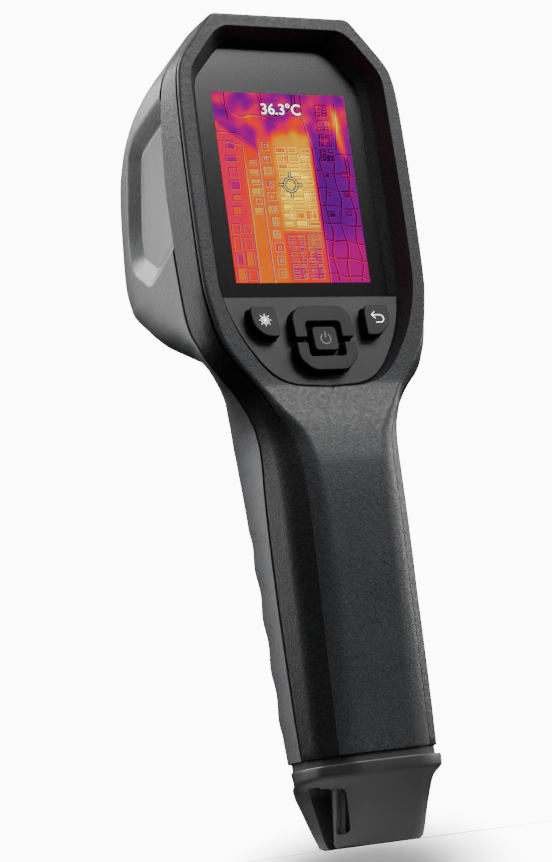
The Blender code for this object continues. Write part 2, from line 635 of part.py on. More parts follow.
def make_sensor():
    finish(box("thermal_core", (-7.4, 38.5, 156.6), (7.4, 48.0, 170.4), 0.4), (0.08, 0.08, 0.085), 0.5, 0.5)
    y_high = FLAG_FRONT
    y_low = y_high - FLAG_THICKNESS
    px, pz = FLAG_PIVOT
    angle = math.atan2(LENS_CENTRE - pz, -px) + FLAG_OPEN
    blade_centre = (px + FLAG_REACH * math.cos(angle), pz + FLAG_REACH * math.sin(angle))
    flag = rod("shutter_flag", 3.4, (blade_centre[0], y_low, blade_centre[1]), y_high - y_low, "Y", 20)
    across = Vector((-math.sin(angle), math.cos(angle)))
    start = Vector((px, pz))
    end = Vector(blade_centre)
    arm = [start + across * 1.3, end + across * 1.3, end - across * 1.3, start - across * 1.3]
    join(flag, plate("arm", [tuple(p) for p in arm], y_low, y_high, facing_y))
    join(flag, rod("hub", 2.0, (px, y_low, pz), y_high - y_low, "Y", 16))
    set_origin(flag, (px, y_low, pz))
    finish(flag, (0.02, 0.02, 0.02), 0.6, 0.3)
    finish(rod("shutter_motor", 2.6, (px, 40.0, pz), 8.2, "Y", 20), (0.4, 0.4, 0.42), 0.35, 0.8)
    camera = rod("visible_camera", 2.9, (-EYE_X, 50.0, EYE_HEIGHT), 6.0, "Y", 24)
    join(camera, rod("camera_tube", 2.4, (-EYE_X, 55.5, EYE_HEIGHT), 10.0, "Y", 20))
    finish(camera, (0.03, 0.03, 0.032), 0.4, 0.3)
    finish(rod("camera_window", 2.6, (-EYE_X, 66.2, EYE_HEIGHT), 1.2, "Y", 24), (0.05, 0.05, 0.07), 0.05, 0.0, 0.4)
    finish(rod("laser_module", 2.1, (EYE_X, 50.0, EYE_HEIGHT), 15.6, "Y", 20), (0.7, 0.55, 0.3), 0.3, 1.0)
    finish(rod("laser_window", 2.1, (EYE_X, 66.2, EYE_HEIGHT), 1.2, "Y", 24), (0.25, 0.02, 0.02), 0.05, 0.0, 0.5)


def make_worklight():
    cup = rod("worklight_reflector", 3.8, (0.0, 42.0, LAMP_HEIGHT), 5.4, "Y", 28)
    cut(cup, rod("cup_hollow", 1.7, (0.0, 43.4, LAMP_HEIGHT), 4.2, "Y", 24, 3.4))
    finish(cup, (0.85, 0.85, 0.86), 0.15, 1.0)
    finish(rod("worklight_led", 1.2, (0.0, 43.7, LAMP_HEIGHT), 1.2, "Y", 16), (0.95, 0.85, 0.45), 0.4)
    finish(rod("worklight_lens", 3.8, (0.0, 47.7, LAMP_HEIGHT), 1.4, "Y", 28), (0.9, 0.92, 0.95), 0.05, 0.0, 0.4)


def make_trigger():
    """The blade under the chin, its pin, its return spring and the switch it presses."""
    y, z = TRIGGER_PIVOT
    blade = plate("trigger", TRIGGER_OUTLINE, -TRIGGER_HALF, TRIGGER_HALF, facing_x)
    cut(blade, rod("trigger_bore", TRIGGER_PIN_RADIUS + 0.05, (-9.0, y, z), 18.0, "X", 20))
    set_origin(blade, (0.0, y, z))
    finish(blade, (0.03, 0.031, 0.033), 0.55)
    finish(rod("trigger_pin", TRIGGER_PIN_RADIUS, (-8.2, y, z), 16.4, "X", 20), (0.6, 0.6, 0.62), 0.3, 1.0)
    switch = box("trigger_switch", (-3.4, 10.0, 94.6), (3.4, 18.4, 104.6), 0.3)
    join(switch, box("plunger", (-1.2, 18.0, 101.6), (1.2, 21.1, 103.2)))
    finish(switch, (0.02, 0.02, 0.022), 0.5)
    per_turn = 10
    curve = bpy.data.curves.new("trigger_spring_path", "CURVE")
    curve.dimensions = "3D"
    curve.bevel_depth = SPRING_WIRE * MM
    curve.bevel_resolution = 2
    curve.use_fill_caps = True
    line = curve.splines.new("POLY")
    count = SPRING_TURNS * per_turn
    line.points.add(count)
    for i in range(count + 1):
        a = 2 * math.pi * i / per_turn
        along = SPRING_START + SPRING_LENGTH * i / count
        height = SPRING_AXIS_HEIGHT + SPRING_RADIUS * math.sin(a)
        line.points[i].co = (SPRING_RADIUS * math.cos(a) * MM, along * MM, height * MM, 1.0)
    guide = bpy.data.objects.new("spring_guide", curve)
    CUTTERS.objects.link(guide)
    bpy.context.view_layer.update()
    mesh = bpy.data.meshes.new_from_object(guide.evaluated_get(bpy.context.evaluated_depsgraph_get()))
    bpy.data.objects.remove(guide, do_unlink=True)
    shape = bmesh.new()
    shape.from_mesh(mesh)
    bmesh.ops.remove_doubles(shape, verts=shape.verts, dist=0.00001)
    shape.to_mesh(mesh)
    shape.free()
    spring = bpy.data.objects.new("trigger_spring", mesh)
    CUTTERS.objects.link(spring)
    finish(spring, (0.65, 0.65, 0.67), 0.3, 1.0)


def make_battery():
    length = BATTERY_HIGH - BATTERY_LOW
    cell = rod("battery_cell", BATTERY_RADIUS, (0.0, BATTERY_CENTRE_Y, BATTERY_LOW), length, "Z", 32)
    finish(cell, (0.05, 0.16, 0.4), 0.4)
    holder = box("battery_holder", (-11.0, -4.6, BATTERY_LOW), (11.0, 5.4, BATTERY_HIGH), 0.3)
    cut(holder, rod("cell_way", BATTERY_RADIUS + GAP, (0.0, BATTERY_CENTRE_Y, 20.0), 80.0, "Z", 32))
    finish(holder, (0.04, 0.04, 0.042), 0.6)


def build():
    outer = outer_body()
    inner = inner_body()
    make_rear_bezel(outer)
    make_mid_frame(outer)
    make_front_housing(outer, inner)
    bpy.data.objects.remove(outer, do_unlink=True)
    bpy.data.objects.remove(inner, do_unlink=True)
    make_screws()
    make_end_cap()
    make_end_cap_gasket()
    make_tripod_insert()
    make_display()
    make_keypad()
    make_boards()
    make_usb_flap()
    make_nose()
    make_sensor()
    make_worklight()
    make_trigger()
    make_battery()


build()
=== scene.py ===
"""Looks for a handheld thermal imaging camera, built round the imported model."""

import json
import math

import bmesh
import bpy
import numpy as np
from mathutils import Matrix, Vector

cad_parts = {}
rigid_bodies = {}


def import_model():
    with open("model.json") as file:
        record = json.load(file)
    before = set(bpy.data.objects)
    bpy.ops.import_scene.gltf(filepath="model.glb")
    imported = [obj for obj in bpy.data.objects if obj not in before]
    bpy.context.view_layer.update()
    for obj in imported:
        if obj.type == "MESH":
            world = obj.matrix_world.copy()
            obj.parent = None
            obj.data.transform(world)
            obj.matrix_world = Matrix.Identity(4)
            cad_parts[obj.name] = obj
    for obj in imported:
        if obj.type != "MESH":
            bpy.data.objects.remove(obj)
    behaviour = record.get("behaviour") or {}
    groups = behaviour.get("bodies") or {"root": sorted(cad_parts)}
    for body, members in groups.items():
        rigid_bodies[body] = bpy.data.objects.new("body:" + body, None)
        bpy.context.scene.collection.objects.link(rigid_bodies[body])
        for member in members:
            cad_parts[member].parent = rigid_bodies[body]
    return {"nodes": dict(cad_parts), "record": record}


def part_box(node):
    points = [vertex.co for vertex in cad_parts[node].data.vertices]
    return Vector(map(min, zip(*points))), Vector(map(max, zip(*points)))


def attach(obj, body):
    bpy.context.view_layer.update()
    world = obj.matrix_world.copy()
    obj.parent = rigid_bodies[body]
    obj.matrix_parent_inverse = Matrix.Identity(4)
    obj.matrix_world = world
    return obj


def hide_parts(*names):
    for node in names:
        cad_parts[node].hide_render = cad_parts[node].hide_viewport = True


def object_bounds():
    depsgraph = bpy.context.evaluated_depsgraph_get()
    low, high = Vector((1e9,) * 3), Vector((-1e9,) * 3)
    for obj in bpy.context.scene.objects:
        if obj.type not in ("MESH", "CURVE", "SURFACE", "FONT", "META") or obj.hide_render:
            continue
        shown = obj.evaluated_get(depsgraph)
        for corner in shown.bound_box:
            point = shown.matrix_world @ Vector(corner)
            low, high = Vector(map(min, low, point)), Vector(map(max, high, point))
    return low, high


for item in list(bpy.data.objects):
    bpy.data.objects.remove(item, do_unlink=True)
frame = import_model()
CAD_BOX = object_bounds()

MM = 0.001
TOP = CAD_BOX[1].z / MM
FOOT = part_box("front_housing")[0].z / MM
PANEL_TILT = math.radians(7.1)
PANEL_FOOT = Vector((0.0, -5.6, 112.0))
KEY_TOP = 3.0
RIDGE_PITCH = 12.8
RIDGE_TOP = 71.0
RIDGE_DEPTH = 0.9
NOSE_CENTRE = 168.0
LENS_CENTRE = 163.5
# Points nearer than MERGE become one. A corner's rounding takes at most MOST_REACH of each of its arms.
MERGE = 0.0005
MOST_REACH = 0.48


# ---------------------------------------------------------------------------------------------
# Small tools: curves through guide points, meshes from grids, solids from outlines.


def smooth_curve(knots, values):
    """A shape-preserving cubic through values at knots, as a function of an array."""
    knots = np.asarray(knots, float)
    values = np.asarray(values, float)
    step = np.diff(knots)
    slope = np.diff(values) / step
    tangent = np.zeros_like(values)
    for i in range(1, len(values) - 1):
        if slope[i - 1] * slope[i] > 0:
            a = 2 * step[i] + step[i - 1]
            b = step[i] + 2 * step[i - 1]
            tangent[i] = (a + b) / (a / slope[i - 1] + b / slope[i])
    tangent[0], tangent[-1] = slope[0], slope[-1]

    def evaluate(at):
        at = np.clip(np.asarray(at, float), knots[0], knots[-1])
        i = np.clip(np.searchsorted(knots, at, side="right") - 1, 0, len(step) - 1)
        h = step[i]
        t = (at - knots[i]) / h
        return ((2 * t**3 - 3 * t**2 + 1) * values[i] + (t**3 - 2 * t**2 + t) * h * tangent[i]
                + (-2 * t**3 + 3 * t**2) * values[i + 1] + (t**3 - t**2) * h * tangent[i + 1])

    return evaluate


def lengths(points):
    """The length along a polyline at each of its points."""
    return np.concatenate([[0], np.cumsum(np.linalg.norm(np.diff(points, axis=0), axis=1))])


def along(points, at):
    """The points at the given lengths along a polyline."""
    length = lengths(points)
    return np.stack([np.interp(at, length, points[:, k]) for k in range(points.shape[1])], axis=-1)


def resample(points, count):
    """Points spread evenly along a polyline."""
    return along(points, np.linspace(0, 1, count) * lengths(points)[-1])


def trim(points, start):
    """The stretch of a polyline after a length along it."""
    return np.vstack([along(points, start), points[lengths(points) > start]])


def bent(start, point, end, t):
    """A quadratic curve from start to end, drawn towards a point."""
    return (1 - t) ** 2 * start + 2 * t * (1 - t) * point + t * t * end


def corner(before, point, after, reach, steps=10):
    """A rounded corner at a point, tangent to both arms at the given reach."""
    before, point, after = (np.asarray(p, float) for p in (before, point, after))
    arms = (before - point, after - point)
    spans = [np.linalg.norm(arm) for arm in arms]
    reach = min(reach, spans[0] * MOST_REACH, spans[1] * MOST_REACH)
    start, end = (point + arm / span * reach for arm, span in zip(arms, spans))
    return bent(start, point, end, np.linspace(0, 1, steps + 1)[:, None])


def new_object(name, mesh):
    """Links a new object into the scene."""
    item = bpy.data.objects.new(name, mesh)
    bpy.context.scene.collection.objects.link(item)
    return item


def from_bmesh(name, shape, smooth_angle=40.0):
    """The object from a bmesh in millimetres, smooth except at edges sharper than an angle."""
    bmesh.ops.scale(shape, vec=(MM, MM, MM), verts=shape.verts)
    mesh = bpy.data.meshes.new(name)
    shape.to_mesh(mesh)
    shape.free()
    mesh.shade_smooth()
    mesh.set_sharp_from_angle(angle=math.radians(smooth_angle))
    return new_object(name, mesh)


def grid_surface(shape, rows, close_rows=False, close_columns=False, flip=False):
    """Adds a grid of quads to a bmesh from an array of rows of points."""
    verts = [[shape.verts.new(p) for p in row] for row in rows]
    count, width = len(verts), len(verts[0])
    for j in range(count if close_rows else count - 1):
        for i in range(width if close_columns else width - 1):
            k, m = (j + 1) % count, (i + 1) % width
            quad = [verts[j][i], verts[j][m], verts[k][m], verts[k][i]]
            if flip:
                quad.reverse()
            if len({v.co.to_tuple(6) for v in quad}) < 3:
                continue
            try:
                shape.faces.new(quad)
            except ValueError:
                pass
    return verts


def finished(name, shape, facing=None, smooth_angle=40.0):
    """The object from a bmesh, its normals made to agree. facing is a direction and the place facing it."""
    bmesh.ops.recalc_face_normals(shape, faces=shape.faces)
    if facing:
        direction, place = Vector(facing[0]), Vector(facing[1])
        shape.faces.ensure_lookup_table()
        shape.normal_update()
        face = min(shape.faces, key=lambda f: (f.calc_center_median() - place).length_squared)
        if face.normal.dot(direction) < 0:
            bmesh.ops.reverse_faces(shape, faces=shape.faces)
    return from_bmesh(name, shape, smooth_angle)


def bake(item):
    """Applies the object's modifiers."""
    bpy.context.view_layer.update()
    mesh = bpy.data.meshes.new_from_object(item.evaluated_get(bpy.context.evaluated_depsgraph_get()))
    old = item.data
    item.modifiers.clear()
    item.data = mesh
    if old.users == 0:
        bpy.data.meshes.remove(old)
    return item


def flatten_shading(item):
    """Keeps flat faces flat where a narrow rounded edge runs along them."""
    normals = item.modifiers.new("normals", "WEIGHTED_NORMAL")
    normals.mode = "FACE_AREA"
    normals.weight = 100
    normals.keep_sharp = True
    return bake(item)


def thicken(item, wall, rounding):
    """Makes an open surface a closed wall, inwards, with rounded rims."""
    solid = item.modifiers.new("wall", "SOLIDIFY")
    solid.thickness = wall * MM
    solid.offset = -1.0
    solid.use_even_offset = False
    return bevel_edges(item, rounding, 60.0)


def bevel_edges(item, width, angle):
    """Rounds the edges sharper than an angle."""
    bevel = item.modifiers.new("rounding", "BEVEL")
    bevel.width = width * MM
    bevel.segments = 2
    bevel.limit_method = "ANGLE"
    bevel.angle_limit = math.radians(angle)
    bevel.use_clamp_overlap = True
    bevel.harden_normals = False
    return bake(item)


def carve(target, tool):
    """Takes a tool's volume out of a piece."""
    modifier = target.modifiers.new("shape", "BOOLEAN")
    modifier.operation = "DIFFERENCE"
    modifier.solver = "EXACT"
    modifier.object = tool
    bake(target)
    bpy.data.objects.remove(tool, do_unlink=True)


def round_outline(points, radius, steps=6):
    """A closed outline with its corners rounded. The radius may be one number or one for each corner."""
    out = []
    for i, point in enumerate(points):
        reach = radius[i] if hasattr(radius, "__len__") else radius
        if reach <= 0:
            out.append(tuple(point))
            continue
        bend = corner(points[i - 1], point, points[(i + 1) % len(points)], reach, steps)
        out.extend((float(p[0]), float(p[1])) for p in bend)
    return out


def rectangle(left, low, right, high):
    """A closed outline from its four limits."""
    return [(left, low), (right, low), (right, high), (left, high)]


def polar(centre, radius, angle):
    """The place at a radius and an angle from a centre."""
    return centre[0] + radius * math.cos(angle), centre[1] + radius * math.sin(angle)


def circle(centre, radius, count):
    """A closed outline with so many points."""
    return [polar(centre, radius, 2 * math.pi * k / count) for k in range(count)]


def grow(outline, amount):
    """Moves every edge of a closed outline outwards by the same amount."""
    area = sum(a[0] * b[1] - b[0] * a[1] for a, b in zip(outline, outline[1:] + outline[:1]))
    turn = 1.0 if area > 0 else -1.0
    moved = []
    for i, here in enumerate(outline):
        before = Vector(here) - Vector(outline[i - 1])
        after = Vector(outline[(i + 1) % len(outline)]) - Vector(here)
        first = Vector((before.y, -before.x)).normalized() * turn
        second = Vector((after.y, -after.x)).normalized() * turn
        middle = (first + second).normalized()
        moved.append(tuple(Vector(here) + middle * (amount / max(middle.dot(first), 0.3))))
    return moved


def facing_y(u, v, w):
    """Across, up, and depth along Y."""
    return Vector((u, w, v))


def facing_x(u, v, w):
    """Depth along Y, up, and out along X."""
    return Vector((w, u, v))


def facing_z(u, v, w):
    """Across, depth along Y, and up along Z."""
    return Vector((u, v, w))


def on_panel(u, v, w):
    """Across and up the key panel, and out of it towards the operator."""
    up = Vector((0.0, math.sin(PANEL_TILT), math.cos(PANEL_TILT)))
    out = Vector((0.0, -math.cos(PANEL_TILT), math.sin(PANEL_TILT)))
    return PANEL_FOOT + Vector((u, 0.0, 0.0)) + up * v + out * w


def add_stack(shape, rings, place):
    """Adds a closed solid through rings (outline, depth), each outline with as many points as the others."""
    rows = [[shape.verts.new(place(u, v, w)) for u, v in outline] for outline, w in rings]
    count = len(rows[0])
    for low, high in zip(rows, rows[1:]):
        for i in range(count):
            j = (i + 1) % count
            shape.faces.new((low[i], low[j], high[j], high[i]))
    shape.faces.new(rows[0])
    shape.faces.new(rows[-1])


def stack(name, rings, place):
    """A piece that is one closed solid through rings (outline, depth)."""
    shape = bmesh.new()
    add_stack(shape, rings, place)
    return finished(name, shape)


def plate(name, outline, low, high, place):
    """A flat piece with square edges."""
    return stack(name, [(outline, low), (outline, high)], place)


def cut(target, outline, low, high, place):
    """Cuts a straight opening with the given outline."""
    carve(target, plate("cutter", outline, low, high, place))


def drill(target, radius, start, end, centre, segments):
    """Cuts a round hole along Y."""
    cut(target, circle(centre, radius, segments), start, end, facing_y)


def turned(name, profile, centre, segments=96, smooth_angle=30.0):
    """A solid turned about an axis along Y through centre, from a closed profile of (radius, y)."""
    shape = bmesh.new()
    rows = []
    for k in range(segments):
        places = [(*polar(centre, r, 2 * math.pi * k / segments), y) for r, y in profile]
        rows.append([(x, y, z) for x, z, y in places])
    grid_surface(shape, rows, close_rows=True, close_columns=True)
    bmesh.ops.remove_doubles(shape, verts=shape.verts, dist=MERGE)
    return finished(name, shape, None, smooth_angle)


# ---------------------------------------------------------------------------------------------
# The body's guide curves. Levels go from the grip's foot to the head's top: height, back plane, half width
# of the back plane, facet edge (x, y), seam of the front shell (x, y), front, and how square the front is.
LEVELS = [
    (21.6, -9.4, 9.8, 16.2, -5.0, 17.8, 1.4, 24.6, 0.62),
    (33.0, -9.9, 9.9, 16.4, -5.4, 18.0, 1.9, 26.0, 0.62),
    (45.8, -10.5, 9.9, 16.5, -5.8, 18.0, 2.3, 27.0, 0.62),
    (58.6, -11.1, 9.9, 16.5, -6.2, 18.0, 2.6, 28.0, 0.62),
    (71.4, -11.7, 9.9, 16.6, -6.6, 18.0, 2.5, 29.4, 0.62),
    (84.0, -12.0, 10.0, 16.6, -6.9, 18.0, 2.0, 31.6, 0.62),
    (91.0, -11.8, 10.1, 16.7, -6.8, 18.0, 1.3, 33.0, 0.62),
    (97.0, -11.0, 10.9, 17.0, -6.4, 18.3, 0.3, 34.0, 0.62),
    (102.0, -10.0, 13.2, 17.8, -5.8, 19.2, -0.4, 34.0, 0.60),
    (106.0, -8.8, 16.0, 19.2, -5.1, 20.7, -0.7, 33.0, 0.55),
    (109.5, -7.8, 17.9, 20.6, -4.7, 22.6, -0.9, 31.6, 0.48),
    (112.5, -7.1, 20.0, 22.8, -4.5, 24.6, -1.3, 30.6, 0.38),
    (115.5, -7.0, 22.4, 25.0, -4.5, 27.2, -1.7, 30.0, 0.28),
    (119.0, -7.0, 25.0, 27.6, -4.5, 29.4, -1.2, 30.2, 0.22),
    (123.5, -7.0, 27.6, 29.7, -4.3, 31.2, 0.0, 32.0, 0.30),
    (128.0, -7.0, 29.0, 30.7, -3.8, 31.8, 2.6, 36.5, 0.50),
    (133.0, -7.0, 30.1, 31.2, -3.4, 32.0, 4.2, 41.0, 0.75),
    (138.0, -7.0, 30.9, 31.6, -3.0, 32.0, 5.0, 44.8, 0.90),
    (145.5, -7.0, 31.2, 31.7, -3.0, 32.0, 5.8, 51.4, 1.0),
    (153.0, -7.0, 31.3, 31.7, -3.0, 32.0, 6.4, 54.0, 1.0),
    (165.0, -7.0, 31.4, 31.7, -3.0, 32.0, 6.8, 52.5, 1.0),
    (178.0, -7.0, 31.3, 31.6, -3.0, 32.0, 5.5, 49.4, 1.0),
    (186.0, -7.0, 31.1, 31.4, -3.2, 31.8, 4.3, 44.2, 1.0),
    (192.0, -7.0, 30.6, 30.9, -3.4, 31.2, 3.3, 36.4, 1.0),
    (195.2, -7.0, 29.9, 30.1, -3.4, 30.4, 2.6, 29.4, 1.0),
    (197.6, -7.0, 28.7, 28.9, -3.5, 29.1, 2.2, 25.0, 1.0),
    (201.0, -7.0, 26.2, 26.4, -3.5, 26.6, 1.8, 20.0, 1.0),
    (205.5, -7.0, 22.7, 22.9, -3.5, 23.1, 1.6, 15.2, 1.0),
    (209.5, -7.0, 19.5, 19.7, -3.5, 19.9, 1.2, 11.8, 1.0),
]
GUIDES = ("back", "ridge_x", "facet_x", "facet_y", "seam_x", "seam_y", "front", "square")


def guide_curves(levels):
    """A smooth curve over height for each guide, from a table of levels."""
    heights, *columns = zip(*levels)
    return {key: smooth_curve(heights, column) for key, column in zip(GUIDES, columns)}


GUIDE = guide_curves(LEVELS)
TOP_REACH = 1.4
ROUND_ROWS = 7
FRONT_GAP = 0.75
BAND_GAP = 0.3
GRIP_ROWS = 130
GLASS_DEPTH = 0.12

# Half outlines of the rim's opening, from the top to the keypad's foot, each corner with its rounding:
# the lip at the rim, the foot of the steep wall and the window's edge.
LIP = [(0.0, 206.1), (16.6, 206.1), (19.6, 204.0), (26.2, 195.6), (27.3, 192.4), (27.8, 160.0), (27.5, 138.0),
       (25.7, 130.6), (23.1, 124.2), (18.4, 116.9), (14.4, 113.2), (9.4, 111.7), (0.0, 111.4)]
# The step and the window's edge run together below the window.
BELOW = [(23.9, 131.0), (21.5, 124.6), (17.2, 117.5), (13.4, 113.9), (9.0, 112.4), (0.0, 111.9)]
STEP = [(0.0, 204.5), (15.8, 204.5), (18.4, 202.6), (24.6, 195.6), (25.4, 192.4), (25.9, 160.0),
        (25.6, 138.0)] + BELOW
GLASS = [(0.0, 204.0), (14.0, 204.0), (16.3, 202.2), (22.8, 194.6), (23.5, 191.6), (23.7, 160.0),
         (23.7, 138.0)] + BELOW
CORNER_REACH = [0.0, 2.2, 2.2, 3.0, 3.0, 9.0, 5.0, 3.5, 3.6, 4.0, 2.6, 2.6, 0.0]
RIM_MATCH = [(0.0, 209.5), (18.4, 209.5), (21.0, 207.4), (28.6, 197.8), (31.0, 192.0), (31.3, 160.0),
             (30.9, 138.0), (29.4, 130.4), (27.3, 123.0), (21.8, 114.8), (18.2, 110.2), (15.4, 105.4),
             (10.6, 96.0)]


def eased(x):
    """A smooth step from 0 to 1."""
    x = np.clip(x, 0.0, 1.0)
    return x * x * (3 - 2 * x)


def finger_ridge(z):
    """How far the finger ridges stand out at a height."""
    inside = eased((z - 27.0) / 4.0) * (1 - eased((z - 79.0) / 5.0))
    return RIDGE_DEPTH * inside * np.cos(2 * math.pi * (z - RIDGE_TOP) / RIDGE_PITCH)


def guide(key, z):
    """One of the body's guide curves at a height."""
    return float(GUIDE[key](z))


def front_curve(seam, front, square, t):
    """Across and forwards, from the seam round to the middle of the front. A square of 1 has flat sides."""
    x = seam[0] * ((1 - t) ** 3 + 3 * (1 - t) ** 2 * t + 3 * (1 - t) * t * t * square)
    y = seam[1] + (front - seam[1]) * (3 * (1 - t) ** 2 * t * square + 3 * (1 - t) * t * t + t ** 3)
    return np.stack([x, y], axis=1)


def front_section(z, shares):
    """Half of the front shell at one height, from the seam round to the middle of the front."""
    seam = (guide("seam_x", z), guide("seam_y", z) + FRONT_GAP)
    front = guide("front", z) + float(finger_ridge(z))
    curve = front_curve(seam, front, guide("square", z), np.linspace(0, 1, 400))
    points = along(curve, shares * lengths(curve)[-1])
    return np.column_stack([points, np.full(len(shares), z)])


def inward_normals(row):
    """Unit directions from a row's points towards the middle of the body, in the row's own plane."""
    along = np.gradient(row[:, :2], axis=0)
    normal = np.stack([-along[:, 1], along[:, 0]], axis=1)
    normal /= np.linalg.norm(normal, axis=1)[:, None]
    centre = np.array([0.0, row[:, 1].mean() * 0.6])
    if np.sum(normal * (centre - row[:, :2])) < 0:
        normal = -normal
    return np.concatenate([normal, np.zeros((len(row), 1))], axis=1)


def round_over(section, inward):
    """Rows that roll a wall over into the flat top. section(z) gives the wall's points at a height."""
    row = section(TOP)
    low = section(TOP - TOP_REACH)
    high = row + inward(row) * TOP_REACH
    return [bent(low, row, high, k / ROUND_ROWS) for k in range(ROUND_ROWS + 1)]


def mirrored(row):
    """A half row that ends in the middle, carried on to the other side."""
    other = row[::-1][1:].copy()
    other[:, 0] *= -1
    return np.vstack([row, other])


def body_levels(*spans):
    """Heights for the rows: (from, to, spacing) spans that follow each other."""
    out = [spans[0][0]]
    for start, end, spacing in spans:
        count = max(1, round((end - start) / spacing))
        out.extend(start + (end - start) * (k + 1) / count for k in range(count))
    return out


def outline_distance(y, z, outline):
    """Signed distance from points to a closed outline, positive inside."""
    best = np.full(y.shape, 1e9)
    inside = np.zeros(y.shape, bool)
    for (ay, az), (by, bz) in zip(outline, outline[1:] + outline[:1]):
        dy, dz = by - ay, bz - az
        t = np.clip(((y - ay) * dy + (z - az) * dz) / (dy * dy + dz * dz + 1e-12), 0, 1)
        best = np.minimum(best, np.hypot(y - ay - t * dy, z - az - t * dz))
        crosses = (az > z) != (bz > z)
        with np.errstate(divide="ignore", invalid="ignore"):
            inside ^= crosses & (y < (by - ay) * (z - az) / (bz - az) + ay)
    return np.where(inside, best, -best)


def ramp(distance, run, depth, blend):
    """A straight ramp down from an edge, with both of its ends rounded."""

    def soft(x):
        return np.where(x < -blend, 0.0, np.where(x > blend, x, (x + blend) ** 2 / (4 * blend)))

    return depth * (soft(distance) - soft(distance - run)) / run


WING = [(-9.0, 191.0), (8.0, 190.2), (24.6, 187.2), (28.8, 184.2), (35.4, 163.4), (35.4, 154.0),
        (23.4, 146.0), (16.8, 147.6), (-9.0, 156.0)]
WING_CORNERS = [0, 3.0, 3.0, 3.0, 4.0, 4.0, 4.0, 4.0, 0]
WING_RUN = 4.6
WING_DEPTH = 2.5
WING_EDGE = 0.45
FLOOR_X = 20.0
WING_OUTLINE = round_outline(WING, WING_CORNERS, 8)


def sink_wing(rows):
    """Presses the wing-shaped dish into both flanks."""
    inside = outline_distance(rows[:, :, 1], rows[:, :, 2], WING_OUTLINE)
    depth = ramp(inside, WING_RUN, WING_DEPTH, WING_EDGE)
    rows[:, :, 0] -= np.sign(rows[:, :, 0]) * depth
    return rows


def mark_wing_floor(shell):
    """Gives the flat floor of each wing the shell's second material."""
    faces = shell.data.polygons
    centres = np.array([face.center for face in faces]) / MM
    inside = outline_distance(centres[:, 1], centres[:, 2], WING_OUTLINE) > WING_RUN
    outwards = np.array([abs(face.normal.x) for face in faces]) > 0.8
    chosen = inside & outwards & (np.abs(centres[:, 0]) > FLOOR_X)
    for face, index in zip(faces, chosen.astype(int)):
        face.material_index = int(index)


def front_shell():
    """The big front shell with its dishes and finger ridges, before its openings are cut."""
    shares = np.concatenate([np.linspace(0, 0.5, 105), np.linspace(0.5, 1, 46)[1:]])
    spans = ((FOOT, 84.0, 0.5), (84.0, 143.0, 0.6), (143.0, 193.0, 0.32), (193.0, TOP - TOP_REACH, 0.5))
    heights = body_levels(*spans)
    rows = [front_section(z, shares) for z in heights[:-1]]
    rows += round_over(lambda z: front_section(z, shares), inward_normals)
    rows = sink_wing(np.array([mirrored(row) for row in rows]))
    shape = bmesh.new()
    last = grid_surface(shape, rows)[-1]
    half = len(last) // 2
    line = fill_between(shape, zip(last[:half], last[::-1]))
    for a, b in zip(line, line[1:]):
        shape.faces.new((a, b, last[half]))
    return finished("front_shell", shape, ((0, 1, 0), (0, 50, 150)))


def fill_between(shape, pairs, columns=30):
    """Fills the flat strip between pairs of vertices, and gives its last line of vertices."""
    previous = None
    for a, b in pairs:
        line = [a] + [shape.verts.new(a.co.lerp(b.co, k / columns)) for k in range(1, columns)] + [b]
        if previous:
            for k in range(columns):
                shape.faces.new((previous[k], previous[k + 1], line[k + 1], line[k]))
        previous = line
    return previous


def grip_share(z):
    """1 along the grip and 0 at the head, with a smooth change between."""
    return 1 - float(eased((z - 92.0) / 24.0))


def rim_reach(z):
    """How far the rim's rounding reaches: crisp at the head, soft along the grip."""
    return 0.75 + 2.3 * grip_share(z)


def rim_seam(z):
    """How far down the side the rear cover ends."""
    return 1.25 + 1.9 * grip_share(z)


def seam_half_gap(z):
    """Half of the gap between the rear cover and the band: wider round the head."""
    return 0.05 + 0.32 * float(eased((z - 100.0) / 12.0))


def band_section(z):
    """The side band at one height, from the rear cover's seam to the front shell's seam."""
    ridge = np.array([guide("ridge_x", z), guide("back", z), z])
    facet = np.array([guide("facet_x", z), guide("facet_y", z), z])
    seam = np.array([guide("seam_x", z), guide("seam_y", z) - BAND_GAP, z])
    path = np.vstack([ridge, corner(ridge, facet, seam, 2.6, 12), seam])
    return resample(trim(path, rim_seam(z) + seam_half_gap(z)), 30)


LIP_INSET = 2.35
LIP_STEPS = (-1.8, -0.4, 1.0, 2.6)


def side_band():
    """The band between the rear cover and the front shell."""
    spans = ((FOOT, 84.0, 2.0), (84.0, 143.0, 0.8), (143.0, 190.0, 1.2), (190.0, TOP - TOP_REACH, 0.4))
    heights = body_levels(*spans)
    rows = [band_section(z) for z in heights[:-1]]
    rows += round_over(band_section, lambda row: np.tile([-1.0, 0.0, 0.0], (len(row), 1)))
    shape = bmesh.new()
    right = grid_surface(shape, rows)
    left = grid_surface(shape, [row * [-1, 1, 1] for row in rows], flip=True)
    fill_between(shape, zip(right[-1], left[-1]))
    bmesh.ops.remove_doubles(shape, verts=shape.verts, dist=MERGE)
    return finished("side_band", shape, ((1, 0, 0), (32, 2, 160)))


def seam_lip():
    """The tongue behind the seam between the band and the front shell, which keeps the light out."""
    rows = []
    for z in np.linspace(FOOT + 1.0, TOP - LIP_INSET, 120):
        level = min(z, TOP - TOP_REACH)
        across, seam = guide("seam_x", level) - LIP_INSET, guide("seam_y", level)
        rows.append(np.array([[across, seam + y, z] for y in LIP_STEPS]))
    rows += [row * [-1, 1, 1] for row in reversed(rows)]
    shape = bmesh.new()
    grid_surface(shape, rows)
    return thicken(finished("seam_lip", shape, ((1, 0, 0), (28, 2, 160))), 0.7, 0.1)


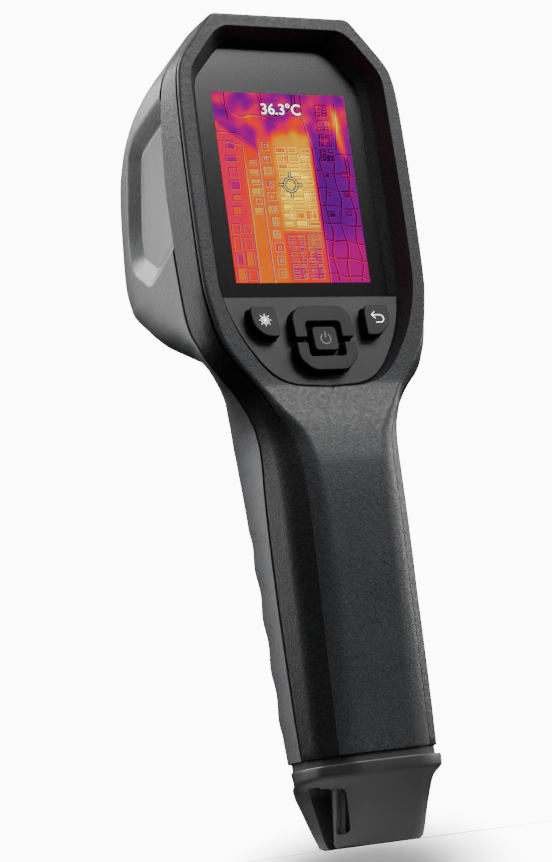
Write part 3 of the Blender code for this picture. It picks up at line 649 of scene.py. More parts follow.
def refine(outlines, spacing=0.8):
    """Adds points along matched outlines, the same share of each span in all of them."""
    result = [[] for _ in outlines]
    for i in range(len(outlines[0]) - 1):
        span = max(np.linalg.norm(o[i + 1] - o[i]) for o in outlines)
        count = max(1, math.ceil(span / spacing))
        for out, o in zip(result, outlines):
            out.extend(o[i] + (o[i + 1] - o[i]) * k / count for k in range(count))
    for out, o in zip(result, outlines):
        out.append(o[-1])
    return [np.array(out) for out in result]


def rim_path():
    """The ridge that bounds the back: the flat top, the rounded corner, the head's side and the grip."""
    low = TOP - TOP_REACH
    flat_end = np.array([guide("ridge_x", TOP) - TOP_REACH, TOP])
    tip = np.array([guide("ridge_x", TOP), TOP])
    side = np.array([guide("ridge_x", low), low])
    points = [(x, TOP) for x in np.linspace(0, flat_end[0], 20)]
    points += [tuple(bent(flat_end, tip, side, k / 8)) for k in range(1, 8)]
    points += [(guide("ridge_x", z), z) for z in np.arange(low, FOOT, -0.4)]
    return np.array([*points, (guide("ridge_x", FOOT), FOOT)])


def nearest_length(path, point):
    """The length along a path at its point nearest to a place."""
    return lengths(path)[np.argmin(np.linalg.norm(path - np.asarray(point), axis=1))]


def wall_direction(z):
    """Unit direction down the side from the ridge, in the plane of the level."""
    if z >= TOP - 0.01:
        return np.array([0.0, 1.0, 0.0])
    step = np.array([guide("facet_x", z) - guide("ridge_x", z), guide("facet_y", z) - guide("back", z), 0])
    return step / np.linalg.norm(step)


def panel_depth(z):
    """Depth of the keypad panel's face at a height."""
    return PANEL_FOOT.y + (z - PANEL_FOOT.z) * math.tan(PANEL_TILT)


def cover_edges(lip):
    """Where the cover's rows start, on the rim, and end: on the lip, then in the middle of the grip."""
    rim = rim_path()
    matches = [nearest_length(rim, p) for p in RIM_MATCH]
    match = smooth_curve([nearest_length(lip, p) for p in LIP], matches)
    outer = [along(rim, float(match(s))) for s in lengths(lip)]
    inner = list(lip)
    for k in range(1, GRIP_ROWS + 1):
        outer.append(along(rim, matches[-1] + (lengths(rim)[-1] - matches[-1]) * k / GRIP_ROWS))
        inner.append(np.array([0.0, LIP[-1][1] + (FOOT - LIP[-1][1]) * k / GRIP_ROWS]))
    return outer, inner


def cover_row(edge, middle):
    """One row of the cover: up its side, over the rounded ridge and across the flat back."""
    x, z = edge
    back = GUIDE["back"]
    ridge = np.array([x, float(back(z)), z])
    down = wall_direction(z)
    inward = np.array([middle[0] - x, 0.0, middle[1] - z])
    inward /= np.linalg.norm(inward)
    reach = rim_reach(z)
    seam = rim_seam(z) - seam_half_gap(z)
    row = [ridge + down * seam, ridge + down * (seam + reach) / 2]
    side, top = ridge + down * reach, ridge + inward * reach
    for t in np.linspace(0, 1, 9):
        p = bent(side, ridge, top, t)
        if t > 0.5:
            p[1] += float(back(p[2]) - back(z)) * (2 * t - 1)
        row.append(p)
    for t in np.linspace(0, 1, 15)[1:]:
        p = top + (np.array([middle[0], 0, middle[1]]) - top) * t
        p[1] = float(back(p[2]))
        row.append(p)
    return row


def recess_row(row, step, glass):
    """One row down the sunk wall, from the lip to the window. The cover's own row is cut back to meet it."""
    level = step[1]
    beside = min(-0.9, panel_depth(level) + 1.2)
    foot = np.array([step[0], beside + (-2.0 - beside) * eased((level - 132.0) / 10.0), level])
    base = np.array([glass[0], GLASS_DEPTH, glass[1]])
    bend = corner(row[-2], row[-1], foot, 0.5, 5)
    low = corner(row[-1], foot, base, 0.5, 4)
    row[-1] = bend[0]
    return [*bend, *low, base, base + np.array([0, 0.9, 0])]


def rear_cover():
    """The rear cover: the flat rim round the screen and keys, its sunk walls and the grip's back."""
    lip, step, glass = refine([np.array(round_outline(o, CORNER_REACH, 8)) for o in (LIP, STEP, GLASS)])
    rows = [cover_row(edge, middle) for edge, middle in zip(*cover_edges(lip))]
    recess = np.array([recess_row(*parts) for parts in zip(rows, step, glass)])
    shape = bmesh.new()
    grid_surface(shape, np.array(rows))
    face_count = len(shape.faces)
    # The sunk walls take the second material, a near-black painted shade.
    grid_surface(shape, recess[:, 3:])
    shape.faces.ensure_lookup_table()
    for face in shape.faces[face_count:]:
        face.material_index = 1
    grid_surface(shape, recess[:, :4])
    geometry = [*shape.verts, *shape.edges, *shape.faces]
    copy = bmesh.ops.duplicate(shape, geom=geometry)["geom"]
    for v in copy:
        if isinstance(v, bmesh.types.BMVert):
            v.co.x = -v.co.x
    bmesh.ops.reverse_faces(shape, faces=[g for g in copy if isinstance(g, bmesh.types.BMFace)])
    bmesh.ops.remove_doubles(shape, verts=shape.verts, dist=0.002)
    return finished("rear_cover", shape, ((0, -1, 0), (0, -12, 80)))


# ---------------------------------------------------------------------------------------------
# Openings of the front shell, and the pieces that sit in it.
SCREW_PLACES = [(-19.0, 189.0, 36.0), (19.0, 189.0, 36.0), (-19.0, 136.0, 37.0), (19.0, 136.0, 37.0)]
LAMP_HEIGHT = 144.6
NOSE_RADIUS = 17.0
EYE_X = 6.2
EYE_HEIGHT = 178.0
LENS_RADIUS = 7.2
# The nose as a closed profile of (radius, y), and the trigger's blade as (y, z) with each corner's rounding.
NOSE_PROFILE = [(17.0, 37.0), (17.0, 57.4), (16.5, 57.9), (16.5, 58.7), (17.0, 59.2), (17.0, 66.6),
                (15.7, 68.5), (15.0, 68.5), (14.9, 67.5), (13.2, 67.3), (0.0, 67.3), (0.0, 65.2),
                (15.0, 65.2), (15.0, 37.0)]
TRIGGER = [(28.6, 113.6), (32.8, 112.6), (36.6, 108.0), (38.0, 101.0), (38.0, 95.0), (39.2, 90.6),
           (38.2, 88.6), (34.8, 88.8), (32.6, 93.0), (30.8, 97.6), (26.0, 98.4), (25.6, 104.0), (26.2, 112.0)]
TRIGGER_CORNERS = [2.0, 2.4, 4.0, 4.0, 3.0, 1.4, 1.0, 1.6, 3.0, 2.0, 1.0, 2.0, 2.0]


def open_front(shell):
    """Cuts the nose, lamp, screw, trigger and port openings, and the dish for the port's flap."""
    drill(shell, NOSE_RADIUS + 0.3, 30.0, 80.0, (0.0, NOSE_CENTRE), 120)
    drill(shell, 4.1, 40.0, 70.0, (0.0, LAMP_HEIGHT), 64)
    for x, z, top in SCREW_PLACES:
        drill(shell, 2.9, top - 3.6, top + 20, (x, z), 48)
    cut(shell, round_outline(rectangle(-6.4, 86.8, 6.4, 115.0), 1.4), 16.0, 50.0, facing_y)
    cut(shell, round_outline(rectangle(-4.9, 3.4, 4.9, 7.4), 1.6), 200.0, 212.0, facing_z)
    cut(shell, round_outline(rectangle(-7.6, 2.6, 7.6, 10.9), 1.8), TOP - 1.6, TOP + 2, facing_z)


def slab(name, outline, low, high, place, rounding, steps=3, both=False):
    """A flat piece with its front edges rolled over, and its back edges too if both is set."""
    roll = []
    for a in np.linspace(0, math.pi / 2, steps + 1):
        roll.append((grow(outline, -rounding * (1 - math.cos(a))), rounding * (1 - math.sin(a))))
    back = [(edge, low + depth) for edge, depth in reversed(roll)] if both else [(outline, low)]
    return stack(name, back + [(edge, high - depth) for edge, depth in roll], place)


def both_sides(half):
    """Closes a half outline, listed on +X, with its mirror image."""
    right = [tuple(p) for p in half]
    left = [(-x, z) for x, z in reversed(right) if abs(x) > 1e-6]
    return right + left


def usb_flap():
    """The port's cover, with a notch to lift it by."""
    outline = round_outline(rectangle(-7.2, 2.9, 7.2, 9.6), 1.5)
    flap = slab("usb_flap_cover", outline, TOP - 1.1, TOP, facing_z, 0.3)
    cut(flap, round_outline(rectangle(-3.0, 2.4, 3.0, 3.6), 0.5, 4), TOP - 0.5, TOP + 1, facing_z)
    return flap


def nose():
    """The round nose: barrel, chamfered lip, sunk face with a lens well and two small eyes."""
    profile = [(max(r, 0.0), y) for r, y in round_outline(NOSE_PROFILE, 0.25, 3)]
    barrel = turned("nose_shell", profile, (0.0, NOSE_CENTRE), 144)
    for radius, centre, segments in ((9.3, (0.0, LENS_CENTRE), 96), (2.9, (-EYE_X, EYE_HEIGHT), 64),
                                     (2.4, (EYE_X, EYE_HEIGHT), 64)):
        drill(barrel, radius, 60.0, 72.0, centre, segments)
    return bevel_edges(barrel, 0.2, 50.0)


def lens_holder():
    """The lens's cell, with fine baffle steps inside its mouth."""
    radius, depth = 8.4, 67.9
    profile = [(9.0, 50.5), (9.0, 67.6), (8.7, depth), (radius, depth)]
    for k in range(5):
        depth -= 0.55
        profile.append((radius, depth))
        radius -= 0.16
        profile.append((radius, depth))
    profile += [(radius, 62.6), (7.3, 62.3), (7.3, 50.5)]
    return turned("lens_cell", profile, (0.0, LENS_CENTRE), 120)


def lens():
    """The lens: a domed front on a flat back."""
    profile = [(0.0, 59.6), (LENS_RADIUS, 59.6), (LENS_RADIUS, 62.0)]
    for k in range(1, 15):
        radius = LENS_RADIUS * (1 - k / 14)
        profile.append((radius, 60.8 + 2.0 * math.cos(math.asin(radius / 9.0))))
    return turned("lens_dome", profile, (0.0, LENS_CENTRE), smooth_angle=40.0)


def trigger():
    """The trigger's blade: a curved finger rest, wide and soft at its edges."""
    outline = round_outline(TRIGGER, TRIGGER_CORNERS)
    return slab("trigger_blade", outline, -5.9, 5.9, facing_x, 1.2, 5, both=True)


# ---------------------------------------------------------------------------------------------
# The foot of the grip.
CAP_LEVELS = [
    (0.0, -2.0, 7.4, 10.6, 0.4, 11.2, 4.0, 12.4, 1.0),
    (0.5, -2.6, 8.0, 11.5, 0.3, 12.2, 4.0, 13.4, 1.0),
    (1.6, -3.2, 8.5, 12.0, 0.1, 12.7, 4.0, 14.2, 0.95),
    (8.0, -5.8, 9.1, 13.1, -1.8, 13.9, 3.2, 17.8, 0.98),
    (12.6, -7.7, 9.4, 14.0, -3.4, 14.8, 2.6, 20.2, 0.98),
    (14.4, -8.6, 9.6, 14.5, -4.1, 15.5, 2.2, 21.1, 0.92),
    (15.6, -9.3, 9.8, 15.4, -4.8, 16.7, 1.9, 21.7, 0.78),
    (16.4, -9.8, 9.9, 16.3, -5.2, 17.5, 1.8, 22.1, 0.64),
    (17.2, -10.0, 10.0, 16.7, -5.4, 17.7, 1.6, 22.5, 0.62),
    (19.3, -10.1, 10.0, 16.8, -5.4, 17.7, 1.6, 23.4, 0.62),
    (19.6, -10.0, 9.9, 16.6, -5.3, 17.5, 1.6, 23.3, 0.62),
]
CAP_GUIDE = guide_curves(CAP_LEVELS)
LANYARD_SLOT = [(-6.5, 14.0), (-3.4, 14.0), (0.2, 3.4), (-2.9, 3.4)]
LANYARD_POCKET = [(-1.2, 15.0), (4.6, 15.0), (5.9, 13.4), (5.2, -2.0), (2.6, -2.0)]
LANYARD_BAR = [(-4.0, 14.2), (-0.8, 14.6), (2.9, 2.0), (-0.4, 2.0)]
LANYARD_TUNNEL = [(-4.0, 13.9), (0.6, 13.9), (3.0, 3.5), (-0.4, 3.5)]
# Each cut: its outline, from and to across, and its corners' rounding.
LANYARD_CUTS = [(LANYARD_SLOT, -22.0, -6.4, 1.3), (LANYARD_POCKET, -22.0, -10.2, 1.1),
                (LANYARD_BAR, -22.0, -12.2, 0.8), (LANYARD_TUNNEL, -11.0, -9.7, 0.6)]
THREAD_CENTRE = (0.0, 6.6)
THREAD_PITCH = 1.27


def full_ring(curves, z, inset=0.0, level=None):
    """A closed ring round the grip at one height, from a set of guide curves."""
    value = {key: float(curve(z)) for key, curve in curves.items()}
    ridge = (value["ridge_x"], value["back"])
    facet = (value["facet_x"], value["facet_y"])
    seam = (value["seam_x"], value["seam_y"])
    front = front_curve(seam, value["front"], value["square"], np.linspace(0, 1, 40))
    half = [[(0.0, value["back"])], corner((0.0, value["back"]), ridge, facet, 2.4, 8),
            corner(ridge, facet, seam, 2.0, 8), front]
    outline = both_sides([(float(x), float(y)) for x, y in resample(np.vstack(half), 60)])
    outline = grow(outline, -inset) if inset else outline
    return [Vector((u, v, z if level is None else level)) for u, v in outline]


def solid_rings(name, rings, hollow=False):
    """A closed solid through rings of equal count. A hollow one closes on itself instead of having ends."""
    shape = bmesh.new()
    rows = grid_surface(shape, rings, close_rows=hollow, close_columns=True)
    if not hollow:
        shape.faces.new(rows[0])
        shape.faces.new(rows[-1])
    return finished(name, shape)


def end_cap():
    """The tapered foot with its flange, and the lanyard's slot, bar and pocket at its left rear corner."""
    spans = ((0.0, 1.6, 0.25), (1.6, 12.6, 1.0), (12.6, 17.2, 0.35), (17.2, 19.3, 0.7), (19.3, 19.6, 0.15))
    cap = solid_rings("grip_cap", [full_ring(CAP_GUIDE, z) for z in body_levels(*spans)])
    for outline, low, high, radius in LANYARD_CUTS:
        cut(cap, round_outline(outline, radius, 5), low, high, facing_x)
    cut(cap, circle(THREAD_CENTRE, 3.9, 64), -2.0, 12.0, facing_z)
    return bevel_edges(cap, 0.3, 38.0)


def collar(name, outside, inside, low, high):
    """A ring that follows the grip's outline at its foot, between two insets and two heights."""
    edges = ((outside, low), (outside, high), (inside, high), (inside, low))
    return solid_rings(name, [full_ring(GUIDE, FOOT, inset, level) for inset, level in edges], hollow=True)


def tripod_thread():
    """The insert with visible turns of thread in its bore."""
    profile = [(3.6, 0.7), (3.6, 11.4), (2.6, 11.4)]
    height = 10.6
    while height > 1.6:
        profile += [(2.6, height), (3.1, height - 0.5), (2.6, height - 1.0)]
        height -= THREAD_PITCH
    profile += [(3.0, 0.4), (3.4, 0.4)]
    rings = [[Vector((u, v, z)) for u, v in circle(THREAD_CENTRE, radius, 48)] for radius, z in profile]
    return solid_rings("tripod_thread", rings, hollow=True)


# ---------------------------------------------------------------------------------------------
# The screen and the keypad.
WINDOW_FOOT = 136.5
SCREEN = ((-18.95, 140.3), (18.95, 190.9))
PANEL = [(0.0, 24.1), (24.75, 24.1), (23.7, 19.2), (21.25, 12.6), (16.9, 5.5), (13.1, 1.9), (8.8, 0.35),
         (0.0, -0.15)]
PANEL_CORNERS = [0.0, 0.5, 3.5, 3.6, 4.0, 2.6, 2.6, 0.0]
SIDE_KEY = [(12.2, 12.2), (16.0, 12.3), (18.8, 14.9), (19.3, 18.2), (19.1, 20.3), (12.9, 20.3), (12.3, 18.4)]
SIDE_KEY_CORNERS = [0.9, 1.5, 1.5, 1.6, 1.5, 1.4, 1.0]
UP_KEY = [(8.2, 11.9), (8.2, 17.8), (5.9, 20.3), (-5.9, 20.3), (-8.2, 17.8), (-8.2, 11.9),
          (-4.8, 11.9), (-4.8, 16.1), (4.8, 16.1), (4.8, 11.9)]
UP_KEY_CORNERS = [0.4, 1.4, 1.4, 1.4, 1.4, 0.4, 0.4, 1.2, 1.2, 0.4]
DOWN_KEY = [(8.2, 10.6), (8.2, 6.4), (4.9, 3.1), (-4.9, 3.1), (-8.2, 6.4), (-8.2, 10.6),
            (-5.0, 10.6), (-5.0, 6.9), (5.0, 6.9), (5.0, 10.6)]
DOWN_KEY_CORNERS = [0.4, 1.6, 1.8, 1.8, 1.6, 0.4, 0.4, 0.9, 0.9, 0.4]
POWER_KEY = [(3.4, 8.3), (3.4, 14.7), (-3.4, 14.7), (-3.4, 8.3)]
POWER_KEY_CORNERS = [1.3, 1.3, 1.3, 1.3]
KEY_SHAPES = {"back_button": (SIDE_KEY, SIDE_KEY_CORNERS), "up_button": (UP_KEY, UP_KEY_CORNERS),
              "down_button": (DOWN_KEY, DOWN_KEY_CORNERS), "power_button": (POWER_KEY, POWER_KEY_CORNERS)}


def mirror_outline(outline):
    """The outline on the other side of the middle."""
    return [(-u, v) for u, v in reversed(outline)]


def key_outline(name):
    """The outline of a key's top. The light key is the back key's mirror image."""
    if name == "light_button":
        return mirror_outline(key_outline("back_button"))
    return round_outline(*KEY_SHAPES[name])


KEY_BODIES = {"light_button": "light_key", "back_button": "back_key", "up_button": "up_key",
              "down_button": "down_key", "power_button": "power_key"}
ICON_DEPTHS = (KEY_TOP - 0.02, KEY_TOP + 0.05)


def window():
    """The glass over the screen, which ends above the keypad."""
    half = [p for p in round_outline(GLASS, CORNER_REACH, 8) if p[1] > WINDOW_FOOT + 1.0]
    outline = grow(both_sides(half + [(23.68, WINDOW_FOOT)]), -0.06)
    return plate("screen_window", outline, 1.0, 0.0, facing_y)


def keypad_panel():
    """The tilted plate round the keys, with a way through for each."""
    outline = both_sides(round_outline(PANEL, PANEL_CORNERS, 8))
    panel = slab("keypad_face", outline, -2.5, 0.0, on_panel, 0.35)
    for name in KEY_BODIES:
        cut(panel, grow(key_outline(name), 0.3), -4.0, 3.0, on_panel)
    return bevel_edges(panel, 0.12, 50.0)


def ribbon(points, width, closed=False):
    """The outline of a thin stroke along points."""
    left, right = [], []
    count = len(points)
    for i, p in enumerate(points):
        a = points[i - 1] if (i > 0 or closed) else p
        b = points[(i + 1) % count] if (i < count - 1 or closed) else p
        d = (Vector(b) - Vector(a)).normalized()
        n = Vector((-d.y, d.x)) * (width / 2)
        left.append(tuple(Vector(p) + n))
        right.append(tuple(Vector(p) - n))
    return left, right


def stroke(shape, points, width, low, high, place, closed=False):
    """Adds a thin raised stroke to a bmesh."""
    left, right = ribbon(points, width, closed)
    sides = ((left, low), (left, high), (right, high), (right, low))
    rows = [[place(*p, w) for p in side] for side, w in sides]
    verts = grid_surface(shape, rows, close_rows=True, close_columns=closed)
    if not closed:
        shape.faces.new([row[0] for row in verts])
        shape.faces.new([row[-1] for row in reversed(verts)])


def strokes(name, lines, width, low, high, place):
    """One piece from many strokes, each (points, closed)."""
    shape = bmesh.new()
    for points, closed in lines:
        stroke(shape, points, width, low, high, place, closed)
    return finished(name, shape)


def arc(centre, radius, start, end, count=24):
    """Points along part of a circle, by angles in degrees."""
    return [polar(centre, radius, math.radians(a)) for a in np.linspace(start, end, count)]


def sunburst_icon():
    """A disc with long and short rays."""
    centre = (-15.7, 16.6)
    shape = bmesh.new()
    add_stack(shape, [(circle(centre, 0.42, 24), w) for w in ICON_DEPTHS], on_panel)
    for k in range(16):
        angle = 2 * math.pi * k / 16
        far = 1.15 if k % 2 else 1.65
        stroke(shape, [polar(centre, 0.6, angle), polar(centre, far, angle)], 0.08, *ICON_DEPTHS, on_panel)
    return finished("light_icon", shape)


def return_icon():
    """An arrow that bends back on itself."""
    hook = [(14.3, 17.6)] + arc((16.5, 16.6), 1.0, 90, -90, 14) + [(15.2, 15.6)]
    head = [(15.2, 18.5), (14.25, 17.6), (15.2, 16.7)]
    return strokes("back_icon", [(hook, False), (head, False)], 0.2, *ICON_DEPTHS, on_panel)


def power_icon():
    """A bar in an open ring."""
    ring = arc((0.0, 11.4), 1.35, 125, 415, 30)
    bar = [(0.0, 13.3), (0.0, 11.7)]
    depths = (ICON_DEPTHS[0], KEY_TOP + 0.04)
    return strokes("power_icon", [(ring, False), (bar, False)], 0.24, *depths, on_panel)


# What the picture shows: an open electrical cabinet. Blocks of fittings: from and to across, from and to up,
# pitch across and up, half size across and up.
FITTINGS = [
    (-18.4, -13.0, 157.4, 178.4, 5.4, 3.5, 1.5, 1.2), (-18.8, -12.6, 140.6, 156.6, 3.1, 4.0, 1.3, 1.8),
    (-11.6, -8.2, 158.0, 174.0, 3.4, 2.6, 1.3, 0.9), (-7.8, -4.0, 141.4, 178.4, 3.8, 3.36, 1.4, 1.2),
    (-7.2, -4.6, 141.4, 178.4, 2.6, 3.36, 0.55, 0.45), (-3.6, 7.0, 155.0, 177.0, 3.5, 2.2, 1.5, 0.8),
    (-3.0, 6.4, 156.0, 176.0, 4.7, 5.0, 1.2, 1.3), (-3.6, 7.2, 140.8, 153.8, 5.4, 4.3, 2.4, 1.8),
    (-3.0, 6.8, 141.2, 153.2, 2.4, 1.5, 0.9, 0.45), (8.8, 14.4, 172.0, 189.0, 5.6, 4.2, 2.2, 1.8),
    (9.6, 13.8, 172.4, 188.4, 2.1, 2.0, 0.7, 0.7), (8.2, 18.4, 156.0, 172.0, 5.1, 5.3, 0.9, 0.8),
]
EDGES = [
    [(-15.4, 190.8), (-15.6, 187.0), (-15.0, 183.4)], [(-5.9, 190.8), (-5.5, 187.0), (-5.7, 183.8)],
    [(-18.8, 180.2), (-13.8, 180.0), (-8.4, 176.2)], [(-18.8, 177.9), (-12.4, 176.8)],
    [(-12.4, 140.4), (-12.1, 158.0), (-12.3, 176.4)], [(-8.2, 140.4), (-8.4, 158.0), (-8.0, 176.2)],
    [(7.5, 140.4), (7.8, 158.0), (7.6, 176.0), (6.0, 184.0), (6.2, 190.8)],
    [(7.8, 176.4), (12.0, 175.0), (18.8, 174.6)],
    [(14.6, 176.0), (15.4, 182.0), (15.8, 188.6)], [(16.6, 175.0), (17.2, 166.0)],
    [(-3.7, 154.5), (7.5, 154.2)],
    [(3.8, 190.8), (3.5, 187.0), (3.9, 184.0)], [(4.6, 190.8), (4.5, 184.4)], [(-5.1, 190.8), (-4.8, 184.2)],
]
# Cables: centre, radius, and the angles where the arc starts and ends.
CABLES = [((-11.0, 190.0), 5.6, 190, 300), ((-2.0, 191.0), 6.2, 200, 330), ((-8.0, 176.0), 9.0, 50, 110),
          ((12.0, 190.0), 8.0, 190, 235)]
LINE_WIDTH = 0.24
LIGHT_SHIFT = 0.2
# Depths of the picture's face, of the dark edging on it and of the bright ink over that.
PICTURE_Y = -0.03
EDGE_Y = -0.09
INK_Y = -0.105
READING = "36.3°C"
READING_SIZE = 4.1


def cabinet():
    """The fittings' outlines, closed, and the single edges, as lists of points in the screen's plane."""
    chance = np.random.RandomState(7)
    boxes = []
    for left, right, low, high, pitch_x, pitch_z, half_x, half_z in FITTINGS:
        for i in range(round((right - left) / pitch_x)):
            for j in range(round((high - low) / pitch_z)):
                x = left + (i + 0.5) * pitch_x + chance.uniform(-0.2, 0.2)
                z = low + (j + 0.5) * pitch_z + chance.uniform(-0.15, 0.15)
                a, b = half_x * chance.uniform(0.6, 1.0), half_z * chance.uniform(0.6, 1.0)
                boxes.append(rectangle(x - a, z - b, x + a, z + b))
    edges = list(EDGES)
    for k in range(3):
        x = 9.8 + 3.7 * k
        edges.append([(x + 0.5 * math.sin(0.5 * z + 2 * k), z) for z in np.arange(140.6, 174.0, 1.5)])
    for k in range(7):
        z = 142.6 + 4.6 * k
        across = np.arange(8.0, 18.9, 0.9)
        edges.append([(x, z - 0.12 * (x - 8.0) + 0.25 * math.sin(0.9 * x + k)) for x in across])
    for curve in CABLES:
        edges.append([p for p in arc(*curve, 12) if p[1] < 190.6])
    return boxes, edges


def picture_details():
    """The picture's drawn detail, in thin layers: tiles, dark lines and the light lines beside them."""
    boxes, edges = cabinet()
    chance = np.random.RandomState(11)
    warm, cool = bmesh.new(), bmesh.new()
    for outline in boxes:
        draw = chance.uniform()
        if draw < 0.6:
            add_stack(warm if draw < 0.34 else cool, [(outline, PICTURE_Y), (outline, -0.045)], facing_y)
    pieces = []
    for name, shape, shift in (("picture_warm", warm, 0.11), ("picture_cool", cool, -0.1)):
        pieces.append((finished(name, shape), heat_picture(name, shift)))
    for name, move, width, high, shift in (("picture_shade", 0.0, LINE_WIDTH, -0.06, -0.36),
                                           ("picture_light", LIGHT_SHIFT, LINE_WIDTH * 0.7, -0.075, 0.17)):
        lines = []
        for group, closed in ((boxes, True), (edges, False)):
            lines += [([(x + move, z - move) for x, z in points], closed) for points in group]
        pieces.append((strokes(name, lines, width, PICTURE_Y, high, facing_y), heat_picture(name, shift)))
    return pieces


def lettering(name, centre, high, spread=0.0):
    """The reading, as raised characters on the screen."""
    curve = bpy.data.curves.new(name, "FONT")
    curve.body = READING
    curve.size = READING_SIZE
    curve.align_x = "CENTER"
    curve.align_y = "CENTER"
    curve.extrude = (PICTURE_Y - high) / 2
    curve.offset = spread
    curve.resolution_u = 6
    guide_text = new_object(name + "_guide", curve)
    bpy.context.view_layer.update()
    mesh = bpy.data.meshes.new_from_object(guide_text.evaluated_get(bpy.context.evaluated_depsgraph_get()))
    bpy.data.objects.remove(guide_text, do_unlink=True)
    shape = bmesh.new()
    shape.from_mesh(mesh)
    bmesh.ops.remove_doubles(shape, verts=shape.verts, dist=MERGE)
    for v in shape.verts:
        v.co = Vector((v.co.x + centre[0], (PICTURE_Y + high) / 2 - v.co.z, v.co.y + centre[1]))
    return finished(name, shape, None, 30.0)


def crosshair(name, width, high, reach):
    """A ring with four ticks in the middle of the picture."""
    centre = (0.0, 166.3)
    lines = [(circle(centre, 1.75, 48), True)]
    for k in range(4):
        lines.append(([polar(centre, r, math.pi / 2 * k) for r in (1.75, reach)], False))
    return strokes(name, lines, width, PICTURE_Y, high, facing_y)


# ---------------------------------------------------------------------------------------------
# Materials. Each is a node tree with its own small-scale detail.


class Tree:
    """A node tree, with short ways to add to it."""

    def __init__(self, tree):
        self.tree = tree

    def node(self, kind, inputs=None, **settings):
        made = self.tree.nodes.new(kind)
        for key, value in settings.items():
            setattr(made, key, value)
        for key, value in (inputs or {}).items():
            self.feed(made.inputs[key], value)
        return made

    def feed(self, socket, value):
        if isinstance(value, bpy.types.NodeSocket):
            self.tree.links.new(value, socket)
        elif hasattr(value, "__len__") and len(value) == 3 and socket.type == "RGBA":
            socket.default_value = (*value, 1.0)
        else:
            socket.default_value = value

    def math(self, operation, first, second=0.0, third=0.0, clamp=False):
        made = self.node("ShaderNodeMath", operation=operation, use_clamp=clamp)
        for socket, value in zip(made.inputs, (first, second, third)):
            self.feed(socket, value)
        return made.outputs[0]

    def blend(self, share, first, second):
        return self.node("ShaderNodeMix", {0: share, 6: first, 7: second}, data_type="RGBA").outputs[2]

    def remap(self, value, low, high, to_low=0.0, to_high=1.0, **settings):
        values = {"Value": value, "From Min": low, "From Max": high, "To Min": to_low, "To Max": to_high}
        return self.node("ShaderNodeMapRange", values, **settings).outputs["Result"]


class Paint(Tree):
    """A material's node tree, ending in its one Principled shader."""

    def __init__(self, name, roughness=0.5, metallic=0.0, specular=0.5):
        self.material = bpy.data.materials.new(name)
        self.material.use_nodes = True
        super().__init__(self.material.node_tree)
        self.shader = self.tree.nodes["Principled BSDF"]
        self.put("Roughness", roughness)
        self.put("Metallic", metallic)
        self.put("Specular IOR Level", specular)
        self.place = self.tree.nodes.new("ShaderNodeTexCoord").outputs["Object"]

    def put(self, socket, value):
        self.feed(self.shader.inputs[socket], value)

    def noise(self, size, detail=2.0, stretch=None):
        """Noise with features of about the given size in millimetres."""
        place = self.place
        if stretch:
            place = self.node("ShaderNodeMapping", {"Vector": place, "Scale": stretch}).outputs["Vector"]
        return self.node("ShaderNodeTexNoise", {"Vector": place, "Scale": 1 / (size * MM), "Detail": detail,
                                                "Roughness": 0.5}).outputs["Fac"]

    def bump(self, height, depth):
        values = {"Height": height, "Distance": depth * MM, "Strength": 1.0}
        return self.node("ShaderNodeBump", values).outputs["Normal"]

    def finish(self, colour, roughness=None, normal=None):
        for socket, value in (("Base Color", colour), ("Roughness", roughness), ("Normal", normal)):
            if value is not None:
                self.put(socket, value)
        return self.material


def grained(name, dark, light, roughness, grain=0.34, depth=0.03, specular=0.5):
    """Moulded plastic with a spark-eroded grain: pits and grains over a slow drift of tone."""
    paint = Paint(name, roughness, 0.0, specular)
    fine = paint.noise(grain, 3.0)
    coarse = paint.noise(grain * 2.6, 2.0)
    drift = paint.noise(14.0, 2.0)
    speckle = paint.remap(fine, 0.32, 0.68, 0.0, 1.0)
    tone = paint.math("MULTIPLY_ADD", drift, 0.35, paint.math("MULTIPLY", speckle, 0.65))
    colour = paint.blend(tone, dark, light)
    rough = paint.remap(coarse, 0.3, 0.7, roughness - 0.06, roughness + 0.06)
    height = paint.math("MULTIPLY_ADD", fine, 0.7, paint.math("MULTIPLY", coarse, 0.5))
    return paint.finish(colour, rough, paint.bump(height, depth))


def satin(name, dark, light, roughness, grain=0.16, depth=0.006, specular=0.5):
    """Smooth moulded plastic or rubber with a very fine tooth and faint handling marks."""
    paint = Paint(name, roughness, 0.0, specular)
    fine = paint.noise(grain, 2.0)
    smear = paint.noise(9.0, 4.0)
    colour = paint.blend(paint.remap(smear, 0.3, 0.7), dark, light)
    rough = paint.remap(smear, 0.3, 0.7, roughness - 0.04, roughness + 0.05)
    return paint.finish(colour, rough, paint.bump(fine, depth))


def metal(name, dark, light, roughness, stretch=(1, 8, 1)):
    """Turned or drawn metal: fine lines, with slight tarnish."""
    paint = Paint(name, roughness, 1.0)
    lines = paint.noise(0.5, 3.0, stretch)
    tarnish = paint.noise(3.0, 3.0)
    colour = paint.blend(tarnish, dark, light)
    rough = paint.remap(lines, 0.3, 0.7, roughness - 0.08, roughness + 0.1)
    return paint.finish(colour, rough, paint.bump(lines, 0.008))


def glassy(name, dark, light, roughness, transmission=0.0):
    """Hard glossy glass, faintly uneven, with dust that only just shows."""
    paint = Paint(name, roughness)
    paint.put("Transmission Weight", transmission)
    dust = paint.noise(0.2, 2.0)
    cloud = paint.noise(20.0, 2.0)
    colour = paint.blend(paint.remap(cloud, 0.3, 0.7), dark, light)
    rough = paint.remap(dust, 0.62, 0.8, roughness, roughness + 0.1)
    return paint.finish(colour, rough, paint.bump(cloud, 0.002))


